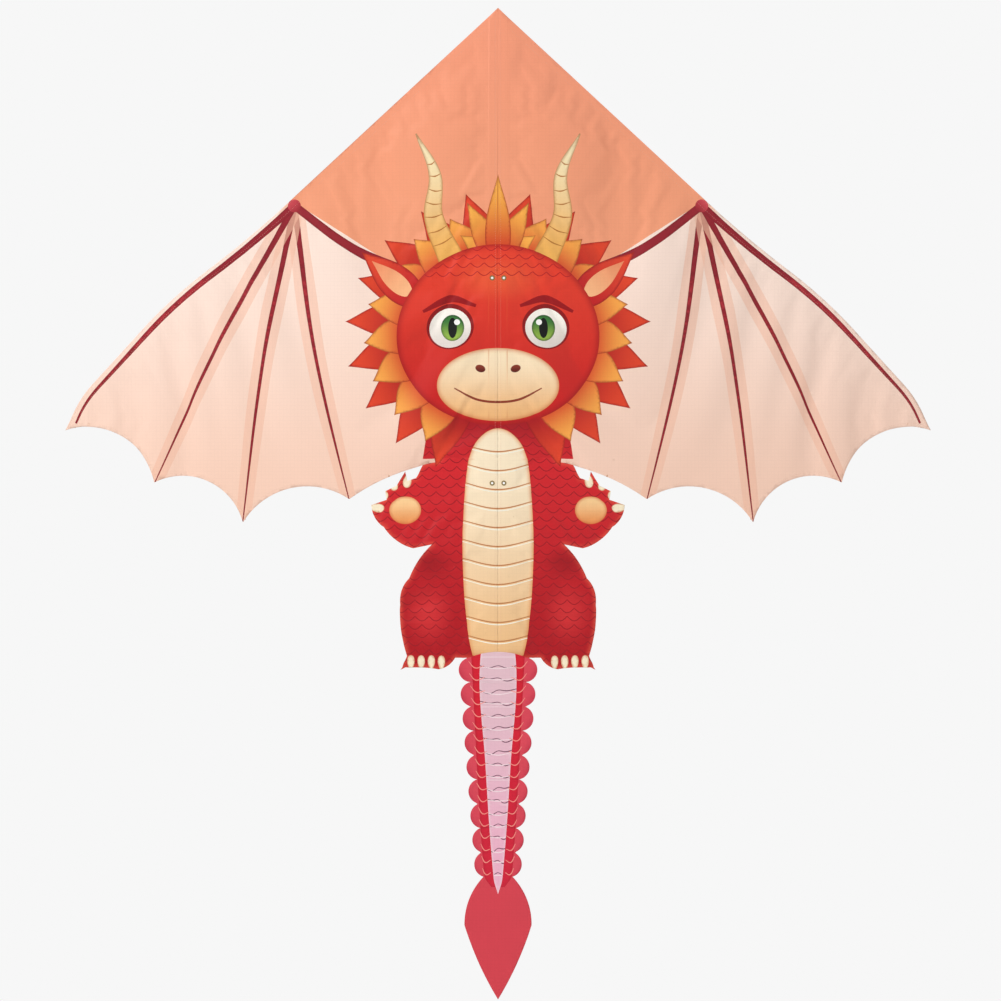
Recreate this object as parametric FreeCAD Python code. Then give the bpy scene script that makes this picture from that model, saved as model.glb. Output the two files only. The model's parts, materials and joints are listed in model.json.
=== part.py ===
import FreeCAD, Part
import math
import os

from FreeCAD import Placement, Rotation, Vector

# A printed delta kite in the shape of a flying dragon, upright, its printed front facing -Y.
# X runs across the wings, +Z towards the nose. The origin is on the spine line, in the front
# plane of the cloth, between the two upper bridle eyelets. Millimetres and degrees.

# Overall sizes
HALF_SPAN = 600.0           # spine line to wing tip, cloth laid flat
NOSE_RISE = 370.0           # origin up to the nose
SAIL_DROP = 333.0           # origin down to the lowest point of the wings
TAIL_LENGTH = 300.0         # seam to the root of the spade
DIHEDRAL = 6.0              # each wing's sweep back from the front plane, at rest

# Cloth
CLOTH = 0.5                 # every panel, hem and patch
STRIP_HALF = 12.0           # centre strip, spine line to the wing seam
SEAM_GAP = 0.6              # half of the flexible line of stitches
TAIL_LAP = 8.0              # tail tab over the foot of the figure
TAIL_STANDOFF = 0.3         # tail tab in front of the figure

# Rods and what they slide in
FITTING_STANDOFF = 0.3      # widest vinyl fitting clear of the cloth behind the print
SPINE_R = 2.0
SPREADER_R = 2.0
SPAR_R = 1.5
BATTEN_R = 1.0
CAP_WALL = 0.7
CAP_LENGTH = 9.0
CAP_PLAY = 0.05
SLEEVE_PLAY = 1.4           # rod to the inside of its sleeve, room for the caps included
PIPE_PLAY = 0.1             # rod to the bore of a vinyl fitting

# Leading edge
SPAR_INSET = 6.0            # edge of the wing to the spar's centre line
SPAR_START = 24.0           # spine line to the spar's inner end
SPREADER_Z = 25.0           # height of the spreader
FITTING_WALL = 1.5
FITTING_HALF = 15.0         # half the length of the leading fitting on the spar
SOCKET_DEPTH = 22.0
SOCKET_FLOOR = 6.0
STOP_LENGTH = 5.0
STOP_GAP = 1.0
WINDOW_R = 27.0             # half-moon opening in the sleeve at the fitting
TIP_POCKET_R = 36.0

# Centre connector
CORE_HALF = 13.0
CORE_WALL = 1.5
BOSS_HALF = 6.4
ARM_START = 7.5
ARM_END = 48.0
ARM_WALL = 1.0
ARM_PLAY = 0.05
SPREADER_START = 26.0

# Spine
NOSE_SETBACK = 16.0         # nose of the cloth to the closed end of its pocket
POCKET_SIDE_WALL = 2.15     # folded cloth beside the hole of a pocket
POCKET_BACK_WALL = 1.35     # folded cloth behind it
POCKET_LENGTH = 30.0
END_STOP = 3.0              # closed end of a pocket

# Bridle eyelets
EYELET_X = 8.0
EYELET_BORE_R = 1.6
EYELET_BARREL_R = 2.0
EYELET_FLANGE_R = 3.4
EYELET_FLANGE = 0.4
PATCH_HALF_X = 11.6
PATCH_HALF_Z = 11.0
LOWER_EYELETS = -0.844      # share of the sail drop

# Outline of the right wing, as shares: across of the half span, along of the nose rise
# above the origin and of the sail drop below it
LEADING_EDGE = [(0.482, 0.284), (0.670, 0.032), (0.828, -0.222), (0.937, -0.435), (0.983, -0.562)]
WING_TIP = (1.0, -0.625)
CUSPS = [(0.788, -0.835), (0.583, -1.0), (0.342, -0.904)]
SAIL_FOOT = -0.748
SCALLOP_RISE = 32.0
INNER_RISE = 18.0

# Outline of the right half of the dragon's lower figure, same shares
SHOULDER = [(0.165, -0.751), (0.188, -0.823)]
CLAWS = [(0.208, -0.834), (0.217, -0.790), (0.233, -0.852), (0.263, -0.871), (0.257, -0.907),
         (0.295, -0.928)]
PAW = [(0.262, -1.024), (0.193, -1.111)]
ARMPIT = (0.150, -1.096)
LEG = [(0.202, -1.232), (0.224, -1.342), (0.209, -1.556)]
FOOT = [(0.227, -1.607), (0.137, -1.610), (0.098, -1.562)]
FIGURE_FOOT = -1.562
ARM_BATTEN = [(0.045, -0.930), (0.240, -0.975)]
LEG_BATTEN = [(0.045, -1.200), (0.190, -1.560)]

# Tail
TAIL_TOP_HALF = 40.0        # half width at the seam, at the notches
TAIL_END_HALF = 20.0        # half width at the spade's root
TAIL_TOP_BULGE = 15.0       # first scallop beyond its notches
TAIL_END_BULGE = 11.0       # last scallop beyond its notches
SCALLOPS = 9
SCALLOPS_PER_SEGMENT = 2
SEGMENTS = 4
SPADE_LENGTH = 168.0
SPADE_HALF = 46.0
SPADE_WIDEST = 66.0         # root to widest point
SPADE_TOP_RISE = 7.0
SPADE_SIDE_RISE = 3.5

FITTING_R = max(SPINE_R + CORE_WALL, SPREADER_R + FITTING_WALL, SPAR_R + FITTING_WALL) + PIPE_PLAY
ROD_PLANE = CLOTH + FITTING_STANDOFF + FITTING_R    # cloth front to the rods' centre lines
POCKET_HOLE_R = SPINE_R + CAP_PLAY + CAP_WALL + PIPE_PLAY
POCKET_HALF = POCKET_HOLE_R + POCKET_SIDE_WALL
POCKET_BACK = ROD_PLANE + POCKET_HOLE_R + POCKET_BACK_WALL
WING_EDGE = STRIP_HALF + 2 * SEAM_GAP
HINGE = Vector(STRIP_HALF + SEAM_GAP, CLOTH / 2, 0)
SEAM_Z = FIGURE_FOOT * SAIL_DROP
TAIL_FRONT = -TAIL_STANDOFF - CLOTH
UP = Vector(0, 0, 1)
BACK = Vector(0, 1, 0)
ACROSS = Vector(1, 0, 0)


def at(share):
    """A point of the cloth's front plane from its two shares."""
    across, along = share
    reach = NOSE_RISE if along > 0 else SAIL_DROP
    return Vector(across * HALF_SPAN, 0, along * reach)


def left_of(direction):
    """The unit direction 90 degrees to the left, seen from the front."""
    return Vector(-direction.z, 0, direction.x).normalize()


def bowed(start, end, rise):
    """An arc from start to end, bowed to the left by rise."""
    middle = (start + end) * 0.5 + left_of(end - start) * rise
    return Part.Arc(start, middle, end).toShape()


def line(start, end):
    return Part.makeLine(start, end)


def chain(points):
    """Straight edges through the points."""
    return [line(a, b) for a, b in zip(points, points[1:])]


def panel(edges, front=0.0, depth=CLOTH):
    """A flat closed outline given depth towards the back."""
    face = Part.Face(Part.Wire(edges))
    face.translate(BACK * front)
    return face.extrude(BACK * depth)


def slab(low, high):
    """A box between two corners."""
    size = high - low
    return Part.makeBox(size.x, size.y, size.z, low)


def rod(start, end, radius):
    return Part.makeCylinder(radius, (end - start).Length, start, end - start)


def tube(start, end, outer, bore):
    return rod(start, end, outer).cut(rod(start, end, bore))


def cap(end, outward, rod_radius):
    """A vinyl cap pushed over a rod's end."""
    closed = end + outward * CAP_WALL
    mouth = closed - outward * CAP_LENGTH
    body = rod(mouth, closed, rod_radius + CAP_PLAY + CAP_WALL)
    return body.cut(rod(mouth, end, rod_radius + CAP_PLAY))


def channel(start, end, rod_radius, centre, play=SLEEVE_PLAY):
    """A straight sleeve of cloth over a rod, open towards the panel that it is sewn on."""
    length = (end - start).Length
    half = rod_radius + play
    outer = slab(Vector(-half - CLOTH, CLOTH, 0), Vector(half + CLOTH, centre + half + CLOTH, length))
    inner = slab(Vector(-half, CLOTH, 0), Vector(half, centre + half, length))
    sleeve = outer.cut(inner)
    sleeve.Placement = Placement(Vector(start.x, 0, start.z), Rotation(UP, end - start))
    return sleeve


def save(name, shape):
    shape.exportStep("parts/" + name + ".step")


# ---- leading edge -------------------------------------------------------------------------

def leading_stations():
    """Points of the leading edge from the inner end out, each with the edge's direction."""
    nose = Vector(0, 0, NOSE_RISE)
    points = [at(share) for share in LEADING_EDGE] + [at(WING_TIP)]
    heading = (points[0] - nose).normalize()
    first = nose + heading * (WING_EDGE / heading.x)
    stations = [(first, heading), (points[0], heading)]
    for point in points[1:]:
        chord = (point - stations[-1][0]).normalize()
        heading = chord * (2 * chord.dot(heading)) - heading
        stations.append((point, heading))
    return stations


def tangent_arc(start, heading, end):
    """The arc that leaves start along heading and reaches end."""
    chord = end - start
    side = left_of(chord)
    turn = math.atan2(heading.dot(side), heading.dot(chord.normalize()))
    if abs(turn) < 1e-4:
        return line(start, end)
    return bowed(start, end, (end - start).Length / 2 * math.tan(turn / 2))


def leading_run(stations, inset):
    """The leading edge's curve, moved into the wing by inset."""
    moved = [(point - left_of(heading) * inset, heading) for point, heading in stations]
    return [tangent_arc(a, heading, b) for (a, heading), (b, _) in zip(moved, moved[1:])]


def spar_stations():
    """The stretch of the leading edge that holds the spar."""
    stations = leading_stations()
    first, heading = stations[0]
    inner = first + heading * ((SPAR_START - first.x) / heading.x)
    return [(inner, heading)] + stations[1:-1]


def leading_band(near, far, front, back):
    """A band of the wing between two insets from the leading edge."""
    stations = spar_stations()
    outer = leading_run(stations, near)
    inner = leading_run(stations, far)
    ends = [line(outer[0].firstVertex(True).Point, inner[0].firstVertex(True).Point),
            line(outer[-1].lastVertex(True).Point, inner[-1].lastVertex(True).Point)]
    wire = Part.Wire(Part.__sortEdges__(outer + inner + ends))
    face = Part.Face(wire)
    face.translate(BACK * front)
    return face.extrude(BACK * (back - front))


def spar_shape(radius):
    """A round rod along the spar's line."""
    stations = spar_stations()
    path = Part.Wire(leading_run(stations, SPAR_INSET))
    path.translate(BACK * ROD_PLANE)
    point, heading = spar_ends()[0]
    profile = Part.Face(Part.Wire(Part.makeCircle(radius, point, heading)))
    return path.makePipe(profile)


def spar_ends():
    """The spar's two ends, each with the direction from the inner to the outer one."""
    stations = spar_stations()
    ends = [stations[0], stations[-1]]
    return [(p - left_of(h) * SPAR_INSET + BACK * ROD_PLANE, h) for p, h in ends]


def spar_crossing():
    """Where the spreader meets the spar, and the spar's direction there."""
    level = line(Vector(0, 0, SPREADER_Z), Vector(HALF_SPAN, 0, SPREADER_Z))
    for edge in leading_run(spar_stations(), SPAR_INSET):
        gap, meetings, _ = edge.distToShape(level)
        if gap < 1e-6:
            point = meetings[0][0]
            tangent = edge.tangentAt(edge.Curve.parameter(point))
            if tangent.x < 0:
                tangent = tangent * -1
            return point + BACK * ROD_PLANE, tangent
    raise ValueError("the spreader misses the spar")


# ---- wing -------------------------------------------------------------------------

def sail_outline():
    stations = leading_stations()
    foot = Vector(WING_EDGE, 0, SAIL_FOOT * SAIL_DROP)
    first, second, third = [at(cusp) for cusp in CUSPS]
    tip = at(WING_TIP)
    trailing = [bowed(tip, first, -SCALLOP_RISE), bowed(first, second, -SCALLOP_RISE),
                bowed(second, third, -SCALLOP_RISE), bowed(third, foot, -INNER_RISE)]
    return leading_run(stations, 0.0) + trailing + [line(foot, stations[0][0])]


def sail():
    return panel(sail_outline())


def tip_pocket():
    """A folded patch over the wing tip, with the hole that takes the spar's end."""
    tip = at(WING_TIP)
    disc = Part.makeCylinder(TIP_POCKET_R, POCKET_BACK - CLOTH, tip + BACK * CLOTH, BACK)
    block = panel(sail_outline(), CLOTH, POCKET_BACK - CLOTH).common(disc)
    end, outward = spar_ends()[1]
    hole = SPAR_R + CAP_PLAY + CAP_WALL + PIPE_PLAY
    return block.cut(rod(end - outward * TIP_POCKET_R, end + outward * (CAP_WALL + PIPE_PLAY), hole))


def leading_sleeve():
    """The hem that carries the spar, open at the fitting and stopped at the tip pocket."""
    half = SPAR_R + SLEEVE_PLAY
    roof = ROD_PLANE + half
    outer = leading_band(SPAR_INSET - half - CLOTH, SPAR_INSET + half + CLOTH, CLOTH, roof + CLOTH)
    inner = leading_band(SPAR_INSET - half, SPAR_INSET + half, CLOTH, roof)
    crossing, _ = spar_crossing()
    window = Part.makeCylinder(WINDOW_R, POCKET_BACK, crossing - BACK * ROD_PLANE, BACK)
    tip = Part.makeCylinder(TIP_POCKET_R + SEAM_GAP, POCKET_BACK, at(WING_TIP), BACK)
    return outer.cut(inner).cut(window).cut(tip)


def leading_fitting():
    """The vinyl tee that joins the spreader to the spar."""
    crossing, along = spar_crossing()
    start, end = crossing - along * FITTING_HALF, crossing + along * FITTING_HALF
    mouth = crossing - ACROSS * (SOCKET_FLOOR + SOCKET_DEPTH)
    body = rod(start, end, SPAR_R + PIPE_PLAY + FITTING_WALL)
    body = body.fuse(rod(mouth, crossing, SPREADER_R + PIPE_PLAY + FITTING_WALL))
    body = body.cut(rod(start, end, SPAR_R + 2 * PIPE_PLAY))
    return body.cut(rod(mouth, crossing - ACROSS * SOCKET_FLOOR, SPREADER_R + PIPE_PLAY))


def stop_rings():
    """The two rings that keep the tee from sliding along the spar."""
    crossing, along = spar_crossing()
    rings = []
    for side in (-1, 1):
        near = crossing + along * (side * (FITTING_HALF + STOP_GAP))
        far = near + along * (side * STOP_LENGTH)
        rings.append(tube(near, far, SPAR_R + PIPE_PLAY + FITTING_WALL / 2, SPAR_R + 2 * PIPE_PLAY))
    return Part.makeCompound(rings)


def spreader():
    """One half of the spreader, from the flexible arm to the tee."""
    crossing, _ = spar_crossing()
    start = Vector(SPREADER_START, ROD_PLANE, SPREADER_Z)
    return rod(start, crossing - ACROSS * (SOCKET_FLOOR + PIPE_PLAY), SPREADER_R)


def spar_cap(index):
    """The cap on one end of the spar, its bore bent like the spar."""
    end, along = spar_ends()[index]
    return cap(end, along * (1 if index else -1), SPAR_R).cut(spar_shape(SPAR_R + CAP_PLAY))


# ---- figure -----------------------------------------------------------------------------

def figure():
    """Right half of the dragon's body, arm and leg, which meets the wing at its foot."""
    collar, cuff = [at(share) for share in SHOULDER]
    claws = [at(share) for share in CLAWS]
    heel_of_paw, wrist = [at(share) for share in PAW]
    armpit = at(ARMPIT)
    hip, knee, ankle = [at(share) for share in LEG]
    toe, heel, arch = [at(share) for share in FOOT]
    top = Vector(WING_EDGE, 0, collar.z)
    crotch = Vector(WING_EDGE, 0, SEAM_Z)
    edges = [line(top, collar), bowed(collar, cuff, 2.0)] + chain([cuff] + claws)
    edges += [bowed(claws[-1], heel_of_paw, 5.0), bowed(heel_of_paw, wrist, 5.0),
              line(wrist, armpit), bowed(armpit, hip, 3.0), bowed(hip, knee, 5.0),
              bowed(knee, ankle, 3.0), bowed(ankle, toe, -1.0), bowed(toe, heel, -2.0),
              bowed(heel, arch, 3.0), line(arch, crotch), line(crotch, top)]
    return panel(edges).cut(sail())


def batten_line(shares):
    start, end = [at(share) + BACK * batten_centre() for share in shares]
    return start, end


def batten_centre():
    """Distance of a batten's centre line behind the cloth's front."""
    return CLOTH + BATTEN_R + CAP_WALL + 2 * PIPE_PLAY


def batten(shares):
    start, end = batten_line(shares)
    return rod(start, end, BATTEN_R)


def batten_caps(shares):
    start, end = batten_line(shares)
    outward = (end - start).normalize()
    return [cap(start, outward * -1, BATTEN_R), cap(end, outward, BATTEN_R)]


def batten_pocket(shares):
    start, end = batten_line(shares)
    outward = (end - start).normalize()
    reach = outward * (CAP_WALL + END_STOP)
    play = CAP_WALL + CAP_PLAY + PIPE_PLAY
    return channel(start - reach, end + reach, BATTEN_R, batten_centre(), play)


# ---- spine ------------------------------------------------------------------------------

def spine_span():
    """Lower and upper end of the spine rod."""
    top = NOSE_RISE - NOSE_SETBACK - END_STOP - CAP_WALL
    bottom = SEAM_Z + END_STOP + CAP_WALL
    return Vector(0, ROD_PLANE, bottom), Vector(0, ROD_PLANE, top)


def eyelet_heights():
    return [0.0, LOWER_EYELETS * SAIL_DROP]


def eyelet_holes(radius):
    """The cloth removed for every eyelet."""
    holes = []
    for z in eyelet_heights():
        for x in (-EYELET_X, EYELET_X):
            holes.append(rod(Vector(x, -CLOTH, z), Vector(x, POCKET_BACK, z), radius))
    return Part.makeCompound(holes)


def centre_strip():
    """The cloth between the two wing seams, with a pointed nose."""
    nose = Vector(0, 0, NOSE_RISE)
    _, heading = leading_stations()[0]
    corner = nose + heading * (STRIP_HALF / heading.x)
    other = Vector(-corner.x, 0, corner.z)
    foot = [Vector(STRIP_HALF, 0, SEAM_Z), Vector(-STRIP_HALF, 0, SEAM_Z)]
    strip = panel(chain([nose, corner] + foot + [other, nose]))
    return strip.cut(eyelet_holes(EYELET_BARREL_R))


def eyelet(x, z):
    """A pressed metal eyelet through the strip and its patch."""
    stack = 2 * CLOTH
    body = rod(Vector(x, -EYELET_FLANGE, z), Vector(x, stack + EYELET_FLANGE, z), EYELET_BARREL_R)
    front = rod(Vector(x, -EYELET_FLANGE, z), Vector(x, 0, z), EYELET_FLANGE_R)
    back = rod(Vector(x, stack, z), Vector(x, stack + EYELET_FLANGE, z), EYELET_FLANGE_R)
    bore = rod(Vector(x, -EYELET_FLANGE, z), Vector(x, stack + EYELET_FLANGE, z), EYELET_BORE_R)
    return body.fuse([front, back]).removeSplitter().cut(bore)


def eyelet_pair(z):
    return Part.makeCompound([eyelet(-EYELET_X, z), eyelet(EYELET_X, z)])


def bridle_patch(z):
    """The doubling patch behind a pair of eyelets."""
    patch = slab(Vector(-PATCH_HALF_X, CLOTH, z - PATCH_HALF_Z),
                 Vector(PATCH_HALF_X, 2 * CLOTH, z + PATCH_HALF_Z))
    return patch.cut(eyelet_holes(EYELET_BARREL_R))


def spine_sleeve():
    """The tunnel that holds the spine, open at the centre connector."""
    low, high = spine_span()
    low = low + UP * (POCKET_LENGTH + SEAM_GAP)
    high = high - UP * (POCKET_LENGTH + SEAM_GAP)
    play = EYELET_X - EYELET_FLANGE_R - SPINE_R - 2 * CLOTH
    sleeve = channel(low, high, SPINE_R, ROD_PLANE, play)
    window = slab(Vector(-POCKET_HALF, 0, SPREADER_Z - CORE_HALF - SLEEVE_PLAY),
                  Vector(POCKET_HALF, 2 * POCKET_BACK, SPREADER_Z + CORE_HALF + SLEEVE_PLAY))
    patches = Part.makeCompound([bridle_patch(z) for z in eyelet_heights()])
    return sleeve.cut(window).cut(patches)


def spine_pocket(end, outward):
    """A folded cloth pocket that stops one end of the spine."""
    closed = end + outward * (CAP_WALL + END_STOP)
    mouth = end - outward * POCKET_LENGTH
    low, high = min(closed.z, mouth.z), max(closed.z, mouth.z)
    block = slab(Vector(-POCKET_HALF, CLOTH, low), Vector(POCKET_HALF, POCKET_BACK, high))
    return block.cut(rod(mouth, end + outward * (CAP_WALL + PIPE_PLAY), POCKET_HOLE_R))


def centre_connector():
    """The vinyl cross on the spine, with a boss for each flexible arm."""
    middle = Vector(0, ROD_PLANE, SPREADER_Z)
    bottom, top = middle - UP * CORE_HALF, middle + UP * CORE_HALF
    outer = SPINE_R + PIPE_PLAY + CORE_WALL
    body = rod(bottom, top, outer)
    body = body.fuse(rod(middle - ACROSS * BOSS_HALF, middle + ACROSS * BOSS_HALF, outer))
    return body.cut(rod(bottom, top, SPINE_R + PIPE_PLAY))


def connector_arm():
    """A flexible tube from the cross to the end of one spreader half."""
    start = Vector(ARM_START, ROD_PLANE, SPREADER_Z)
    end = Vector(ARM_END, ROD_PLANE, SPREADER_Z)
    bore = SPREADER_R + ARM_PLAY
    return tube(start, end, bore + ARM_WALL, bore)


# ---- tail -------------------------------------------------------------------------------

def tapered(top, end, drop):
    """A size that changes evenly from the seam to the spade's root, at drop below the seam."""
    return top + (end - top) * drop / TAIL_LENGTH


def tail_side(first, count):
    """Edges of the right side over a run of scallops, from the top down."""
    pitch = TAIL_LENGTH / SCALLOPS
    drops = [pitch * k for k in range(first, first + count + 1)]
    halves = [tapered(TAIL_TOP_HALF, TAIL_END_HALF, drop) for drop in drops]
    notches = [Vector(half, 0, SEAM_Z - drop) for half, drop in zip(halves, drops)]
    bulges = [tapered(TAIL_TOP_BULGE, TAIL_END_BULGE, drop) for drop in drops]
    return [bowed(a, b, bulge) for a, b, bulge in zip(notches, notches[1:], bulges)]


def mirrored(edges):
    plane = Vector(1, 0, 0)
    return [edge.mirror(Vector(0, 0, 0), plane) for edge in edges]


def trimmed(shape, top, bottom):
    """The part of a tail piece between its two seams, less their gaps."""
    wide = 2 * HALF_SPAN
    keep = slab(Vector(-wide, -wide, bottom), Vector(wide, wide, top))
    return shape.common(keep)


def tail_piece(side, top_drop, bottom_drop):
    """A tail piece from the edges of its right side."""
    top, bottom = side[0].firstVertex(True).Point, side[-1].lastVertex(True).Point
    edges = side + mirrored(side) + [line(Vector(-top.x, 0, top.z), top)]
    if bottom.x > 1e-6:
        edges.append(line(bottom, Vector(-bottom.x, 0, bottom.z)))
    wire = Part.Wire(Part.__sortEdges__(edges))
    face = Part.Face(wire)
    face.translate(BACK * TAIL_FRONT)
    piece = face.extrude(BACK * CLOTH)
    return trimmed(piece, SEAM_Z - top_drop - SEAM_GAP, SEAM_Z - bottom_drop + SEAM_GAP)


def tail_segment(index):
    first = index * SCALLOPS_PER_SEGMENT
    pitch = TAIL_LENGTH / SCALLOPS
    side = tail_side(first, SCALLOPS_PER_SEGMENT)
    return tail_piece(side, first * pitch, (first + SCALLOPS_PER_SEGMENT) * pitch)


def tail_spade():
    """The last scallops and the spade, cut from one panel."""
    first = SEGMENTS * SCALLOPS_PER_SEGMENT
    root_z = SEAM_Z - TAIL_LENGTH
    root = Vector(TAIL_END_HALF, 0, root_z)
    widest = Vector(SPADE_HALF, 0, root_z - SPADE_WIDEST)
    point = Vector(0, 0, root_z - SPADE_LENGTH)
    spade = [bowed(root, widest, SPADE_TOP_RISE), bowed(widest, point, SPADE_SIDE_RISE)]
    side = tail_side(first, SCALLOPS - first) + spade
    drop = first * TAIL_LENGTH / SCALLOPS
    return tail_piece(side, drop, TAIL_LENGTH + SPADE_LENGTH + SEAM_GAP)


def tail_tab():
    """The round-topped tab that is sewn over the foot of the figure."""
    right = Vector(TAIL_TOP_HALF, 0, SEAM_Z)
    left = Vector(-TAIL_TOP_HALF, 0, SEAM_Z)
    tab = panel([bowed(left, right, TAIL_LAP), line(right, left)], TAIL_FRONT)
    return trimmed(tab, SEAM_Z + 2 * TAIL_LAP, SEAM_Z + SEAM_GAP)


# ---- assembly -----------------------------------------------------------------------------

def on_wing(shape, side):
    """A piece built flat on the right wing, swept back, and mirrored for the left one."""
    swept = shape.copy()
    swept.rotate(HINGE, UP, DIHEDRAL)
    return swept if side == "right" else swept.mirror(Vector(0, 0, 0), ACROSS)


def wing_pieces():
    return {
        "sail": sail(),
        "tip_pocket": tip_pocket(),
        "leading_sleeve": leading_sleeve(),
        "leading_spar": spar_shape(SPAR_R),
        "spar_nose_cap": spar_cap(0),
        "spar_tip_cap": spar_cap(1),
        "leading_fitting": leading_fitting(),
        "stop_rings": stop_rings(),
        "spreader": spreader(),
        "figure": figure(),
        "arm_pocket": batten_pocket(ARM_BATTEN),
        "arm_batten": batten(ARM_BATTEN),
        "leg_pocket": batten_pocket(LEG_BATTEN),
        "leg_batten": batten(LEG_BATTEN),
        "batten_caps": Part.makeCompound(batten_caps(ARM_BATTEN) + batten_caps(LEG_BATTEN)),
        "connector_arm": connector_arm(),
    }


def spine_pieces():
    foot, nose = spine_span()
    upper, lower = eyelet_heights()
    return {
        "centre_strip": centre_strip(),
        "spine_sleeve": spine_sleeve(),
        "spine_rod": rod(foot, nose, SPINE_R),
        "spine_nose_cap": cap(nose, UP, SPINE_R),
        "spine_foot_cap": cap(foot, UP * -1, SPINE_R),
        "nose_pocket": spine_pocket(nose, UP),
        "foot_pocket": spine_pocket(foot, UP * -1),
        "centre_connector": centre_connector(),
        "upper_eyelets": eyelet_pair(upper),
        "lower_eyelets": eyelet_pair(lower),
        "upper_patch": bridle_patch(upper),
        "lower_patch": bridle_patch(lower),
        "tail_tab": tail_tab(),
        "tail_spade": tail_spade(),
    }


def main():
    os.makedirs("parts", exist_ok=True)
    for name, shape in spine_pieces().items():
        save(name, shape)
    for name, shape in wing_pieces().items():
        for side in ("left", "right"):
            save(name + "_" + side, on_wing(shape, side))
    for index in range(SEGMENTS):
        save("tail_segment_" + str(index + 1), tail_segment(index))


main()
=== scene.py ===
"""Looks of a printed delta kite shaped as a flying dragon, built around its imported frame.

The cloth is one printed sheet a side, cut to the outline of the frame's panels and slackened by a
cloth simulation. Sleeves, pockets, patches, stitches and the tail are pieces of their own.
"""

import json
import logging
import math
import random
from dataclasses import dataclass, field
from enum import Enum
from typing import Optional, Sequence

import bmesh
import bpy
import numpy as np
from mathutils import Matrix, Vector
from mathutils.bvhtree import BVHTree
from mathutils.geometry import barycentric_transform, delaunay_2d_cdt
from mathutils.kdtree import KDTree


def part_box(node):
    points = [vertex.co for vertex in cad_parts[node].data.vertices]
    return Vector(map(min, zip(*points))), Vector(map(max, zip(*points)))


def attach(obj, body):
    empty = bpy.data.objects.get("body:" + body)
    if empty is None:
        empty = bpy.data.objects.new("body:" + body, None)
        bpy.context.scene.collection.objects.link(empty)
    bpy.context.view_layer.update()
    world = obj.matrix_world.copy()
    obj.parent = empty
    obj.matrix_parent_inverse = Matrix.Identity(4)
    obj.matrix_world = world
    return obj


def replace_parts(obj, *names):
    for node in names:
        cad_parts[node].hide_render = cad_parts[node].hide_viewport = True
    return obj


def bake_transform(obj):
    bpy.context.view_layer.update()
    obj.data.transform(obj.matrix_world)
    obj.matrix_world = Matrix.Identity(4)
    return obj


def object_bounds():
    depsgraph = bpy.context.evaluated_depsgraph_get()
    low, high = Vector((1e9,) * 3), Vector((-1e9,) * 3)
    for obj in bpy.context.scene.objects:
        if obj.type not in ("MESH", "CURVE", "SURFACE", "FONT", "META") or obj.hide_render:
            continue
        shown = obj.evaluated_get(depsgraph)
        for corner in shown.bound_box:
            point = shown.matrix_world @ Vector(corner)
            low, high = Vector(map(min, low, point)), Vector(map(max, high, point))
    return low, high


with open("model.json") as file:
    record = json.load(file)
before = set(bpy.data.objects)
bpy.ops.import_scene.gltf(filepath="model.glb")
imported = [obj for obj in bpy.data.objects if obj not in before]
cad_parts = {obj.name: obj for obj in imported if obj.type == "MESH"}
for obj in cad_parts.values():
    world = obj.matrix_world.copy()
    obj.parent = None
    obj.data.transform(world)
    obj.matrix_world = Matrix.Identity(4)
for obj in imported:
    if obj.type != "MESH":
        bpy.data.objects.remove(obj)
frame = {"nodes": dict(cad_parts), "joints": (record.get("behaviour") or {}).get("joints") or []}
CAD_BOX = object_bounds()

LOG = logging.getLogger("kite")
MM = 0.001
PRINT = "print"
SIDES = {"left": -1, "right": 1}

Run = Sequence[tuple]


# ---- small tools --------------------------------------------------------------------------

def ink(code: str) -> np.ndarray:
    """Turn a printer's hex colour into linear red, green and blue.

    Args:
        code: six hex digits.

    Returns:
        The linear colour as an array of three.
    """
    srgb = np.array([int(code[i:i + 2], 16) for i in (0, 2, 4)]) / 255
    return np.where(srgb <= 0.04045, srgb / 12.92, ((srgb + 0.055) / 1.055) ** 2.4)


def rgba(code: str) -> tuple[float, float, float, float]:
    """A hex colour as linear colour and full alpha, for a shader socket."""
    red, green, blue = (float(c) for c in ink(code))
    return red, green, blue, 1.0


def curve(points: Run, closed: bool = True, step: float = 2.5) -> np.ndarray:
    """Draw a smooth line through points.

    Args:
        points: x and z in millimetres; a third item marks a sharp corner.
        closed: whether the line returns to its first point.
        step: about how far apart the drawn points lie.

    Returns:
        The drawn points, one row each.
    """
    spots = [np.array(p[:2], float) for p in points]
    sharp = [len(p) > 2 for p in points]
    count = len(spots)
    drawn = []
    for i in range(count if closed else count - 1):
        a, b = spots[i], spots[(i + 1) % count]
        before, after = spots[i - 1], spots[(i + 2) % count]
        length = np.linalg.norm(b - a)
        first = sharp[i] or (not closed and i == 0)
        last = sharp[(i + 1) % count] or (not closed and i == count - 2)
        leave = b - a if first else (b - before) / max(np.linalg.norm(b - before), 1e-9) * length
        reach = b - a if last else (after - a) / max(np.linalg.norm(after - a), 1e-9) * length
        pieces = max(1, int(round(length / step)))
        for k in range(pieces):
            t = k / pieces
            drawn.append((2 * t**3 - 3 * t**2 + 1) * a + (t**3 - 2 * t**2 + t) * leave
                         + (3 * t**2 - 2 * t**3) * b + (t**3 - t**2) * reach)
    if not closed:
        drawn.append(spots[-1])
    return np.array(drawn)


def distances(line: np.ndarray) -> np.ndarray:
    """How far along an open line each of its points lies."""
    return np.concatenate([[0], np.cumsum(np.linalg.norm(np.diff(line, axis=0), axis=1))])


def length(line: np.ndarray) -> float:
    """The length of an open line."""
    return float(np.linalg.norm(np.diff(line, axis=0), axis=1).sum())


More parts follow.
